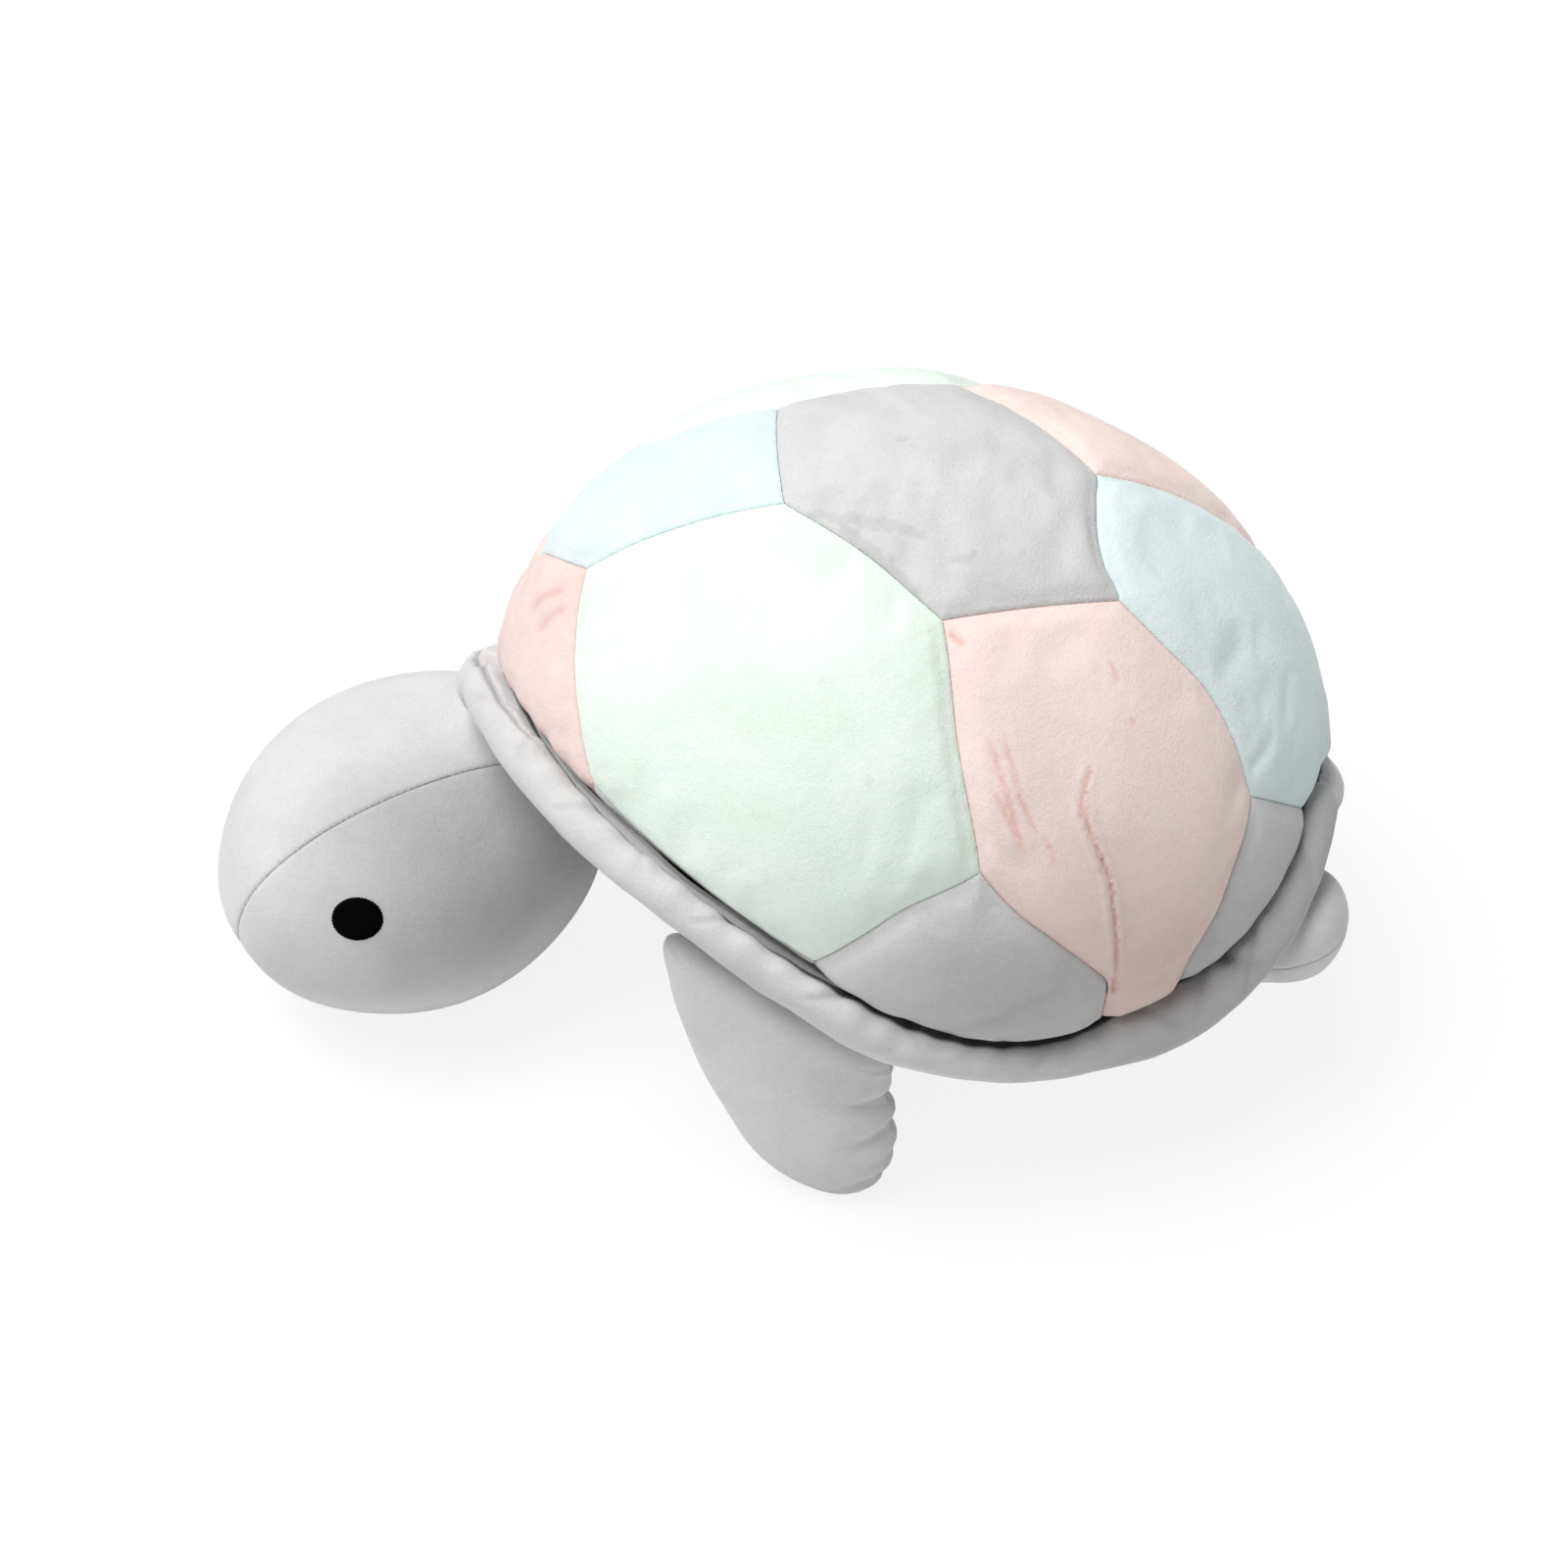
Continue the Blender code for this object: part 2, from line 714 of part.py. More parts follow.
neck_room_radius = neck_radius + neck_gap
neck_hollow = add_cutter("neck_room", ball(neck_place, [neck_room_radius] * 3, neck_steps, neck_rings))
head_hollow = add_cutter("head_room", head_ball(grow=head_swing_room))
head_lining = head_ball()
stand_on_floor(head_lining)
push_in(head_lining, fabric)
head_lining = add_cutter("head_lining", head_lining)

make_body(body_sockets + [neck_hollow, head_hollow])
add_piece("neck", ball(neck_place, [neck_radius] * 3, neck_steps, neck_rings), "grey", neck_joint)
make_head(head_lining, neck_hollow)
make_eye("eye_left", 1)
make_eye("eye_right", -1)
centre_over_origin()
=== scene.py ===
import math

import bmesh
import bpy
import numpy as np
from mathutils import Matrix, Vector


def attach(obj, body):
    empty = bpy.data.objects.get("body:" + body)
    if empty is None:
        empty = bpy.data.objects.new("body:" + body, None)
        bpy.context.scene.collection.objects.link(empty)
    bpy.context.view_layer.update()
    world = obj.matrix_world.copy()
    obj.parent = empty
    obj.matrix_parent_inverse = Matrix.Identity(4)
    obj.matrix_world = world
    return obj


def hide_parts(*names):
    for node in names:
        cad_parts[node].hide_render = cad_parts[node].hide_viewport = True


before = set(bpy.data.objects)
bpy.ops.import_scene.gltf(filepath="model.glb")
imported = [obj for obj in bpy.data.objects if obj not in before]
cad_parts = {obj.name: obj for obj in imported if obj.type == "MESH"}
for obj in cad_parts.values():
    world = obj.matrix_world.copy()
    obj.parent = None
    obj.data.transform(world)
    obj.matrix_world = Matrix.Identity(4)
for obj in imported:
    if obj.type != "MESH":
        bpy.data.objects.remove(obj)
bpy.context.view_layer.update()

# Looks of the plush turtle. Metres, +Z up; the toy faces -Y and its left is +X.
# Shapes repeat the values that the solids were built from, so each fine piece
# lies on the solid that it stands for.

mm = 0.001

shell_centre = np.array((-0.11, 43.82, 112.0)) * mm
shell_half = np.array((121.0, 148.0, 127.0)) * mm
shell_pitch = math.radians(6.5)
rim_height_shares = (
    (-180, 0.14), (-165, 0.05), (-150, -0.01), (-130, -0.12), (-110, -0.20),
    (-90, -0.12), (-70, 0.0), (-50, 0.05), (-40, -0.07), (-30, -0.20), (-20, -0.26), (-8, -0.13),
    (4, 0.0), (16, 0.10), (30, 0.166), (45, 0.17), (60, 0.138), (80, 0.0),
    (95, -0.17), (110, -0.275), (125, -0.25), (145, -0.13), (160, 0.07),
    (170, 0.19), (180, 0.14),
)
# The roll, by degrees round: its size, how it strays from the rim in mm, how far up
# its inner side is painted in shade in mm, how wide the painted shade line on the shell beside it is in mm,
# and where its seam shows and at which degrees round its section
roll_radius = 9.0 * mm
roll_stand_out = 3.4 * mm
roll_size_shares = (
    (-180, 0.78), (-165, 0.74), (-150, 0.86), (-135, 1.05), (-110, 1.02), (-95, 1), (-75, 1), (-50, 0.8),
    (-30, 0.66), (-8, 0.68), (0, 0.9), (6, 1.06), (12, 1.12), (20, 1.06), (30, 0.95), (40, 0.86), (48, 0.81),
    (56, 0.79), (64, 0.77), (72, 0.77), (80, 0.8), (88, 0.88), (96, 0.87), (104, 0.78), (112, 0.79),
    (120, 0.92), (128, 1.1), (136, 1.19), (144, 1.06), (152, 0.98), (158, 0.86), (166, 0.82), (180, 0.78),
)
roll_lifts = (
    (-180, -6), (-170, -8), (-160, -7), (-145, -3), (-130, 0), (6, 0), (12, 1.5), (20, 1.5), (30, 1),
    (40, 0.9), (48, 0.7),
    (56, -0.2), (64, 1.1), (72, 1.5), (80, 0.5), (88, 1.4), (96, 1.4), (104, 2.5), (112, 1.6), (120, -1.4),
    (128, -2.4), (136, -3.4), (144, -1.2), (152, 0), (166, 0), (180, -6),
)
roll_outs = ((-180, -5), (-165, -4.5), (-148, -1.5), (-135, 0), (132, 0), (140, 0.8), (148, 1.8), (156, 0.6),
             (164, -0.8), (172, -3), (180, -5))
roll_shadow_heights = ((-180, -0.6), (0, -0.8), (40, -0.8), (60, -0.8), (76, 0.2), (84, 1.4), (92, 2.0), (112, 2.0),
                       (124, 1.0), (132, -1.6), (142, -0.8), (150, -1.4), (165, -1.4), (180, -1.2))
crevice_shade_widths = ((-180, 1.2), (0, 0.8), (20, 0.7), (60, 0.5), (80, 0.7), (90, 2.4), (122, 2.2), (134, 0.8),
                  (148, 1.0), (165, 0.8), (180, 0.8))
roll_seam_shares = ((-180, 0), (-4, 0), (3, 1), (26, 1), (38, 0), (180, 0))
roll_seam_rings = ((-180, 56), (3, 58), (12, 63), (24, 74), (32, 90), (40, 118), (180, 118))
tucked_degrees = 3.5
groove_depth = 9.0 * mm
groove_reach = 16.5 * mm
panel_crown = 1.8 * mm
crown_width = 24.0 * mm
seam_gap = 0.08 * mm
seam_dip = 0.55 * mm
seam_room_half = 0.8 * mm
swell_cap = 2.6 * mm
cloth = 1.2 * mm
seam_cut_steps = (0.4, 0.9, 1.6, 2.6)
head_cut_steps = (0.6, 1.3, 2.3, 4.0)
seam_hold = 3.2 * mm
rim_hold = 8.0 * mm
pucker_place = 2.0 * mm
pucker_width = 2.2 * mm
roll_ripple_height = 0.45 * mm
roll_ripple_length = 13.8 * mm
roll_ripple_drift = 61.0 * mm
stuffing_share = 0.82
stuffing_floor = 2.5 * mm

corner_degrees = {
    "top_front_right": (30.5, -32.4),
    "top_front_left": (23.3, 27.2),
    "top_left": (28.6, 95.1),
    "top_rear_left": (29.6, 147.3),
    "top_rear_right": (20.7, -154.8),
    "top_right": (30.0, -86.0),
    "blue_front_left": (54.0, 15.2),
    "blue_front_tip": (73.2, -6.9),
    "blue_front_right": (54.0, -19.5),
    "mint_pink_left": (66.1, 104.0),
    "mint_front_left": (74.9, 47.0),
    "mint_foot_left": (86.8, 83.9),
    "pink_blue_left": (65.1, 150.9),
    "mint_pink_right": (66.0, -102.0),
    "mint_front_right": (74.9, -50.0),
    "mint_foot_right": (86.8, -85.0),
    "pink_blue_right": (65.0, -150.0),
    "below_front": (125, -3.0),
    "below_mint_front_left": (125, 44.0),
    "below_mint_foot_left": (125, 86.0),
    "pink_foot_left": (108, 130.0),
    "pink_heel_left": (108, 134.5),
    "below_foot_left": (125, 130.0),
    "below_heel_left": (125, 134.5),
    "below_mint_front_right": (125, -48.0),
    "below_mint_foot_right": (125, -87.0),
    "pink_foot_right": (108, -130.0),
    "pink_heel_right": (108, -134.5),
    "below_foot_right": (125, -130.0),
    "below_heel_right": (125, -134.5),
    "blue_foot": (91.5, 180.0),
    "below_rear": (125, 180.0),
}

shell_panels = {
    "top_panel": ("grey", (
        "top_front_right", "top_front_left", "top_left",
        "top_rear_left", "top_rear_right", "top_right")),
    "front_blue_panel": ("blue", (
        "top_front_right", "top_front_left", "blue_front_left",
        "blue_front_tip", "blue_front_right")),
    "left_mint_panel": ("mint", (
        "top_front_left", "top_left", "mint_pink_left",
        "mint_foot_left", "mint_front_left", "blue_front_left")),
    "left_pink_panel": ("pink", (
        "top_left", "top_rear_left", "pink_blue_left",
        "pink_heel_left", "pink_foot_left", "mint_pink_left")),
    "rear_blue_panel": ("blue", (
        "top_rear_left", "top_rear_right", "pink_blue_right",
        "blue_foot", "pink_blue_left")),
    "right_pink_panel": ("pink", (
        "top_rear_right", "top_right", "mint_pink_right",
        "pink_foot_right", "pink_heel_right", "pink_blue_right")),
    "right_mint_panel": ("mint", (
        "top_right", "top_front_right", "blue_front_right",
        "mint_front_right", "mint_foot_right", "mint_pink_right")),
    "front_left_pink_panel": ("pink", (
        "blue_front_tip", "blue_front_left", "mint_front_left",
        "below_mint_front_left", "below_front")),
    "front_right_pink_panel": ("pink", (
        "blue_front_tip", "blue_front_right", "mint_front_right",
        "below_mint_front_right", "below_front")),
    "left_edge_strip": ("grey", (
        "mint_front_left", "mint_foot_left",
        "below_mint_foot_left", "below_mint_front_left")),
    "right_edge_strip": ("grey", (
        "mint_front_right", "mint_foot_right",
        "below_mint_foot_right", "below_mint_front_right")),
    "left_side_panel": ("grey", (
        "mint_foot_left", "mint_pink_left", "pink_foot_left",
        "below_foot_left", "below_mint_foot_left")),
    "right_side_panel": ("grey", (
        "mint_foot_right", "mint_pink_right", "pink_foot_right",
        "below_foot_right", "below_mint_foot_right")),
    "left_rear_panel": ("grey", (
        "pink_blue_left", "blue_foot", "below_rear",
        "below_heel_left", "pink_heel_left")),
    "right_rear_panel": ("grey", (
        "pink_blue_right", "blue_foot", "below_rear",
        "below_heel_right", "pink_heel_right")),
}

# How far a seam strays from a straight cut between two corners: over what width
# it takes the cloth with it, and the way it goes in mm, from its start to its end
seam_bows = (
    ("top_front_left", "top_left", 22, ((0, 0), (0.5, -1.2), (1, 0))),
    ("top_rear_left", "top_rear_right", 22, ((0, 0), (0.21, -4.7), (0.45, -6.1), (0.75, -3.6), (1, 0))),
    ("top_left", "mint_pink_left", 18, ((0, 0), (0.5, 2.0), (1, 0))),
    ("top_rear_left", "pink_blue_left", 18, ((0, 0), (0.25, -0.8), (0.5, -3.6), (0.75, -2.8), (1, 0))),
    ("mint_foot_left", "mint_pink_left", 16, ((0, 0), (0.3, -1.6), (0.6, -3.1), (1, 0))),
    ("mint_pink_left", "pink_foot_left", 17, (
        (0, 0), (0.1, -0.4), (0.2, -1.8), (0.32, -5.0), (0.44, -7.6), (0.54, -9.5), (0.62, -10.0), (0.7, -6.0),
        (0.8, -1.0), (1, 0))),
    ("pink_blue_left", "pink_heel_left", 17, (
        (0, 0), (0.11, 1.4), (0.24, 4.8), (0.37, 6.0), (0.5, 7.8), (0.62, 8.6), (0.76, 4), (0.88, 0), (1, 0))),
    ("mint_pink_right", "pink_foot_right", 17, ((0, 0), (0.3, 4.0), (0.6, 8.0), (0.8, 3.0), (1, 0))),
    ("pink_blue_right", "pink_heel_right", 17, ((0, 0), (0.3, -4.0), (0.6, -8.0), (0.8, -5.0), (1, 0))),
    ("blue_front_tip", "blue_front_right", 28, ((0, 0), (0.12, -7), (0.4, -13), (1, -14))),
)

# Pinches in the roll: degrees round, how far they lean, width in degrees, depth in
# mm, and from where to where they reach round the roll (90 is its top)
roll_pinches = (
    (24, 4, 0.8, 0.8, 20, 120), (33, -3, 0.8, 0.5, 40, 130), (47, 3, 0.9, 0.6, 30, 130),
    (58, -2, 0.8, 0.5, 50, 140), (70, 3, 0.8, 0.7, 40, 140), (86, 4, 0.9, 0.8, 40, 140),
    (97, -3, 0.8, 0.4, 60, 140), (117, 4, 1.0, 0.5, 50, 140), (133, -5, 1.0, 0.9, 40, 140),
    (141, 5, 0.9, 0.7, 40, 140), (147, -2, 1.1, 2.0, 30, 150), (150, 6, 0.9, 0.9, 20, 140),
    (162, 3, 1.0, 1.0, 30, 140), (-172, 2, 1.0, 0.7, 40, 140), (-150, 3, 1.0, 0.6, 40, 140),
    (-128, -3, 1.0, 0.6, 40, 140), (-104, 3, 1.0, 0.6, 40, 140), (-84, 3, 1.0, 0.5, 40, 140),
)

# Folds and darts: on which cuts, how deep and how wide in mm, how far the cloth
# puffs up beside them, and where they run: degrees down and round
folds = (
    ("left_pink_panel", 0.8, 0.7, 0.7, (
        (53.0, 121.8), (55.0, 120.2), (57.2, 119.4), (59.5, 119.7), (61.9, 120.4),
        (68.0, 122.2), (74.9, 122.8), (81.5, 123.4), (91.0, 124.6))),
    ("left_pink_panel", 0.4, 0.7, 0.35, ((49.5, 122.3), (52.5, 120.6), (56.0, 118.8), (59.0, 118.6))),
    ("left_pink_panel", 0.25, 0.9, 0.25, ((44.5, 104.5), (50.9, 106.7), (56.8, 108.4), (64.4, 110.2))),
    ("left_pink_panel", 0.2, 0.8, 0.2, ((43.8, 106.8), (48.8, 108.5), (54.6, 109.7), (61.0, 112.4))),
    ("left_pink_panel", 0.2, 0.8, 0.15, ((52.4, 105.1), (56.8, 107.3), (61.3, 109.5))),
    ("left_pink_panel", 0.2, 0.7, 0.15, ((60.0, 112.9), (62.3, 113.8), (64.7, 114.5))),
    ("left_pink_panel", 0.2, 0.8, 0.2, ((36.6, 132.9), (38.6, 132.6), (40.3, 132.2))),
    ("left_pink_panel", 0.15, 0.8, 0.1, ((44.8, 131.8), (46.8, 131.8))),
    ("left_pink_panel", 0.4, 1.2, 0.2, ((30.4, 96.1), (31.3, 98.6), (32.6, 100.9))),
    ("front_left_pink_panel", 0.16, 2.0, 0.3, ((67.4, 13.6), (62.6, 14.6), (57.3, 17.5))),
    ("front_left_pink_panel", 0.12, 1.8, 0.25, ((66.4, 19.8), (62.6, 20.1), (58.1, 20.9))),
    ("left_side_panel", 0.25, 3.2, 0.35, ((91.4, 108.7), (88.9, 113.0), (86.8, 117.5))),
    ("left_side_panel", 0.2, 2.6, 0.25, ((95.4, 104.0), (93.0, 108.0), (91.2, 111.0))),
    ("left_side_panel", 0.4, 0.6, 0.15, ((86.6, 81.6), (88.2, 82.9), (89.9, 84.2))),
)

# Pile pressed the other way, real marks that share their tint with painted shade: how much darker, how wide in mm,
# and where
pressed_pile_and_painted_shade = (
    ("top_panel", 0.28, 2.2, ((21.6, 37.5), (18.7, 48.1), (16.4, 63.3), (15.9, 84.5))),
    ("top_panel", 0.34, 2.6, ((19.6, 50.8), (20.4, 60.0), (21.0, 65.8), (23.0, 77.5), (26.5, 88.7))),
    ("top_panel", 0.28, 1.6, ((18.8, 96.3), (19.1, 101.9), (17.7, 106.3))),
    ("top_panel", 0.22, 2.6, ((7.0, -24.3), (7.6, -14.0))),
    ("left_mint_panel", 0.2, 1.6, ((53.7, 86.0), (54.0, 87.0))),
    ("left_mint_panel", 0.17, 1.6, ((41.7, 73.3), (42.0, 74.4))),
)

belly_tuck_share = 0.18
belly_flat_share = 0.8
belly_forward = 14.0 * mm

head_half = np.array((62.5, 72.5, 60.0)) * mm
head_place = Vector((32.29, -136.58, 60.51)) * mm
head_turn = (Matrix.Rotation(math.radians(28), 4, "Z") @ Matrix.Rotation(math.radians(17), 4, "X")
             @ Matrix.Rotation(math.radians(-8), 4, "Y"))
gusset_start_share = 0.18
gusset_spread_share = 0.46
eye_place_shares = (0.877, -0.295, 0.378)
eye_half_width = 9.5 * mm
eye_half_height = 8.25 * mm

neck_place = np.array((18.77, -97.52, 78.31)) * mm
neck_radius = 36.0 * mm

front_root = (110.5, 15.82, 85.0)
front_sizes = {
    "half_width": 44.0 * mm, "root_radius": 14.0 * mm, "length": 75.0 * mm, "thickness": 33.0 * mm,
    "sweeps": ((0, -0.02), (0.2, 0.18), (0.42, 0.44), (0.67, 0.71), (0.83, 0.85), (1, 0.92)),
    "widths": ((0, 1.03), (0.3, 1.05), (0.6, 1.08), (0.85, 1.08), (1, 1.02)),
    "depths": ((0, 0.79), (0.3, 1.0), (0.6, 1.12), (0.85, 1.2), (1, 1.2)),
}
rear_root = (35.0, 159.82, 71.0)
rear_sizes = {
    "half_width": 25.0 * mm, "root_radius": 14.0 * mm, "length": 46.0 * mm, "thickness": 37.0 * mm,
    "sweeps": ((0, 0), (1, 0)),
    "widths": ((0, 1), (0.3, 1.03), (0.7, 1.14), (1, 1.24)),
    "depths": ((0, 0.757), (0.3, 1.0), (0.6, 1.42), (1, 1.95)),
    "lifts": ((0, 0), (0.4, -1.0), (1, -5.0)),
}

# Colours as linear shares
colours = {
    "grey": (0.672, 0.668, 0.668),
    "blue": (0.755, 0.855, 0.862),
    "mint": (0.83, 0.95, 0.85),
    "pink": (0.93, 0.755, 0.71),
}
slots = {
    "grey": "grey_velour", "blue": "blue_velour", "mint": "mint_velour", "pink": "pink_velour",
    "fibre": "fibre_fill", "thread": "black_thread",
}


# Materials

def node(tree, kind, **settings):
    made = tree.nodes.new(kind)
    for key, value in settings.items():
        setattr(made, key, value)
    return made


def number(tree, operation, *values):
    """A math node on numbers and other nodes' outputs."""
    made = node(tree, "ShaderNodeMath", operation=operation)
    for socket, value in zip(made.inputs, values):
        if isinstance(value, float):
            socket.default_value = value
        else:
            tree.links.new(value, socket)
    return made.outputs[0]


def noise(tree, place, scale, detail):
    made = node(tree, "ShaderNodeTexNoise")
    made.inputs["Scale"].default_value = scale
    made.inputs["Detail"].default_value = detail
    tree.links.new(place.outputs["Object"], made.inputs["Vector"])
    return made


def ramp(tree, source, low, high, low_place=0.0, high_place=1.0):
    """Colours from low to high."""
    made = node(tree, "ShaderNodeValToRGB")
    for element, place, colour in zip(made.color_ramp.elements, (low_place, high_place), (low, high)):
        element.position = place
        element.color = (*colour, 1.0)
    tree.links.new(source, made.inputs["Fac"])
    return made.outputs["Color"]


def tinted(tree, base, attribute, colour):
    """The base colour times another, as far as the mesh's attribute says."""
    amount = node(tree, "ShaderNodeAttribute", attribute_name=attribute)
    made = node(tree, "ShaderNodeMix", data_type="RGBA", blend_type="MULTIPLY")
    made.inputs["B"].default_value = (*colour, 1.0)
    tree.links.new(amount.outputs["Fac"], made.inputs["Factor"])
    tree.links.new(base, made.inputs["A"])
    return made.outputs["Result"]


def bump(tree, source, distance, strength=1.0, under=None):
    made = node(tree, "ShaderNodeBump")
    made.inputs["Strength"].default_value = strength
    made.inputs["Distance"].default_value = distance
    tree.links.new(source.outputs["Fac"], made.inputs["Height"])
    if under is not None:
        tree.links.new(under, made.inputs["Normal"])
    return made.outputs["Normal"]


def new_material(name):
    material = bpy.data.materials.new(name)
    material.use_nodes = True
    tree = material.node_tree
    return material, tree, tree.nodes["Principled BSDF"], node(tree, "ShaderNodeTexCoord")


def velour(name, colour):
    """Short pile: mottled where it lies different ways, grainy close up, paler at grazing angles."""
    material, tree, shader, place = new_material(name)
    patches = noise(tree, place, 38.0, 3.0)
    strokes = noise(tree, place, 300.0, 3.0)
    strokes.inputs["Roughness"].default_value = 0.65
    grain = noise(tree, place, 1150.0, 2.0)
    mottle = number(tree, "MULTIPLY_ADD", strokes.outputs["Fac"], 0.45, patches.outputs["Fac"])
    mottle = number(tree, "MULTIPLY_ADD", grain.outputs["Fac"], 0.75, mottle)
    mottle = number(tree, "SUBTRACT", mottle, 0.6)
    shade = ramp(tree, mottle, [c**1.06 * 0.95 for c in colour], [min(c * 1.10, 1.0) for c in colour], 0.15, 0.85)
    # Painted shade in seams, folds, pinches and gathers: a darker, deeper tint of the colour
    shade = tinted(tree, shade, "crease_shade", [(c / max(colour))**1.5 * 0.9 for c in colour])
    # Pressed pile marks, and painted shade on parts that face away from the light or lie under the rim, in one tint
    shade = tinted(tree, shade, "pressed_pile_and_painted_shade", [(c / max(colour))**0.4 * 0.62 for c in colour])
    # Painted shade in crevices: near black
    shade = tinted(tree, shade, "crevice_shade", (0.05, 0.05, 0.05))
    tree.links.new(shade, shader.inputs["Base Color"])
    shader.inputs["Roughness"].default_value = 0.92
    shader.inputs["Specular IOR Level"].default_value = 0.15
    shader.inputs["Sheen Weight"].default_value = 0.25
    shader.inputs["Sheen Roughness"].default_value = 0.45
    shader.inputs["Sheen Tint"].default_value = (*[c**0.3 for c in colour], 1.0)
    pile = bump(tree, grain, 0.35 * mm, 0.5)
    tree.links.new(bump(tree, strokes, 0.8 * mm, 0.3, pile), shader.inputs["Normal"])
    return material


def thread(name):
    """Black satin stitch: fine ridges that catch a little light."""
    material, tree, shader, place = new_material(name)
    strands = noise(tree, place, 900.0, 2.0)
    shade = ramp(tree, strands.outputs["Fac"], (0.0, 0.0, 0.0), (0.004, 0.004, 0.004))
    tree.links.new(shade, shader.inputs["Base Color"])
    shader.inputs["Roughness"].default_value = 0.85
    shader.inputs["Specular IOR Level"].default_value = 0.02
    tree.links.new(bump(tree, strands, 0.2 * mm, 0.4), shader.inputs["Normal"])
    return material


def fibre(name):
    """Loose white fibre: soft clumps."""
    material, tree, shader, place = new_material(name)
    clumps = noise(tree, place, 120.0, 6.0)
    shade = ramp(tree, clumps.outputs["Fac"], (0.72, 0.72, 0.70), (0.92, 0.92, 0.90))
    tree.links.new(shade, shader.inputs["Base Color"])
    shader.inputs["Roughness"].default_value = 1.0
    tree.links.new(bump(tree, clumps, 2.0 * mm), shader.inputs["Normal"])
    return material


materials = {key: velour(slots[key], colours[key]) for key in colours}
materials["thread"] = thread(slots["thread"])
materials["fibre"] = fibre(slots["fibre"])


# Shared shapes

def smooth_share(table, place):
    """Read a table of (place, share) along a smooth curve, level at its ends."""
    xs, ys = np.array(table, float).T
    slopes = np.zeros(len(xs))
    slopes[1:-1] = (ys[2:] - ys[:-2]) / (xs[2:] - xs[:-2])
    place = np.asarray(place, float)
    k = np.clip(np.searchsorted(xs, place) - 1, 0, len(xs) - 2)
    span = xs[k + 1] - xs[k]
    t = np.clip((place - xs[k]) / span, 0, 1)
    rise = (2 * t**3 - 3 * t**2 + 1) * ys[k] + (3 * t**2 - 2 * t**3) * ys[k + 1]
    lean = (t**3 - 2 * t**2 + t) * slopes[k] + (t**3 - t**2) * slopes[k + 1]
    return rise + span * lean


def ease(low, high, value):
    t = np.clip((value - low) / (high - low), 0, 1)
    return t * t * (3 - 2 * t)


def lumps(points, wavelength, seed, waves=9):
    """A smooth field of rounded lumps, about -1 to 1."""
    chance = np.random.default_rng(seed)
    total = np.zeros(len(points))
    for _ in range(waves):
        way = chance.normal(size=3)
        way *= 2 * math.pi / (wavelength * chance.uniform(0.7, 1.6)) / np.linalg.norm(way)
        total += np.sin(points @ way + chance.uniform(0, 2 * math.pi))
    return total / math.sqrt(waves) / 1.4


def normalised(vectors):
    return vectors / np.maximum(np.linalg.norm(vectors, axis=-1, keepdims=True), 1e-12)


def read_points(mesh):
    co = np.empty(len(mesh.vertices) * 3)
    mesh.vertices.foreach_get("co", co)
    return co.reshape(-1, 3)


# The points go with three tints: painted shade in seams and creases, pressed pile with painted shade, and painted
# shade in crevices
def write_points(mesh, co, crease_shade=None, pile_and_painted_shade=None, crevice_shade=None):
    mesh.vertices.foreach_set("co", np.ascontiguousarray(co, float).ravel())
    for name, values in (("crease_shade", crease_shade), ("pressed_pile_and_painted_shade", pile_and_painted_shade), ("crevice_shade", crevice_shade)):
        attribute = mesh.attributes.get(name) or mesh.attributes.new(name, "FLOAT", "POINT")
        attribute.data.foreach_set("value", np.zeros(len(co)) if values is None else np.clip(values, 0, 1))
    mesh.update()


def to_path(points, path):
    """How far points are from a path, and how far along it, from 0 to 1."""
    best = np.full(len(points), 1.0)
    along = np.zeros(len(points))
    lengths = np.linalg.norm(np.diff(path, axis=0), axis=1)
    run = np.concatenate([[0], np.cumsum(lengths)])
    for index, (start, end) in enumerate(zip(path, path[1:])):
        step = end - start
        t = np.clip((points - start) @ step / (step @ step), 0, 1)
        away = np.linalg.norm(points - start - t[:, None] * step, axis=1)
        nearer = away < best
        best = np.where(nearer, away, best)
        along = np.where(nearer, (run[index] + t * lengths[index]) / run[-1], along)
    return best, along


def mesh_normals(mesh):
    normals = np.empty(len(mesh.vertices) * 3)
    mesh.vertices.foreach_get("normal", normals)
    return normals.reshape(-1, 3)


def add_piece(name, mesh, finish, body, nodes, thick=0.0):
    """A finished piece: its material, the body it rides on and the nodes it stands for."""
    mesh.shade_smooth()
    mesh.materials.clear()
    mesh.materials.append(materials[finish])
    piece = bpy.data.objects.new(name, mesh)
    bpy.context.scene.collection.objects.link(piece)
    if thick:
        sheet = piece.modifiers.new("cloth", "SOLIDIFY")
        sheet.thickness = thick
        sheet.offset = -1.0
    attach(piece, body)
    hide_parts(*nodes)
    return piece


def mesh_of(name, bm):
    mesh = bpy.data.meshes.new(name)
    bm.to_mesh(mesh)
    bm.free()
    return mesh


def closed_mesh(name, mesh):
    """The mesh with its open ends filled and its faces turned outwards."""
    bm = bmesh.new()
    bm.from_mesh(mesh)
    bmesh.ops.holes_fill(bm, edges=[e for e in bm.edges if e.is_boundary])
    bmesh.ops.recalc_face_normals(bm, faces=bm.faces)
    return mesh_of(name, bm)


def grid_mesh(name, points, cap_last=False):
    """A mesh from points[row, column], closed round its columns."""
    rows, columns = points.shape[:2]
    index = np.arange(rows * columns).reshape(rows, columns)
    ahead = np.roll(index, -1, axis=1)
    faces = np.stack([index[:-1], index[1:], ahead[1:], ahead[:-1]], -1).reshape(-1, 4).tolist()
    if cap_last:
        faces.append(index[-1].tolist())
    mesh = bpy.data.meshes.new(name)
    mesh.from_pydata(points.reshape(-1, 3).tolist(), [], faces)
    return mesh


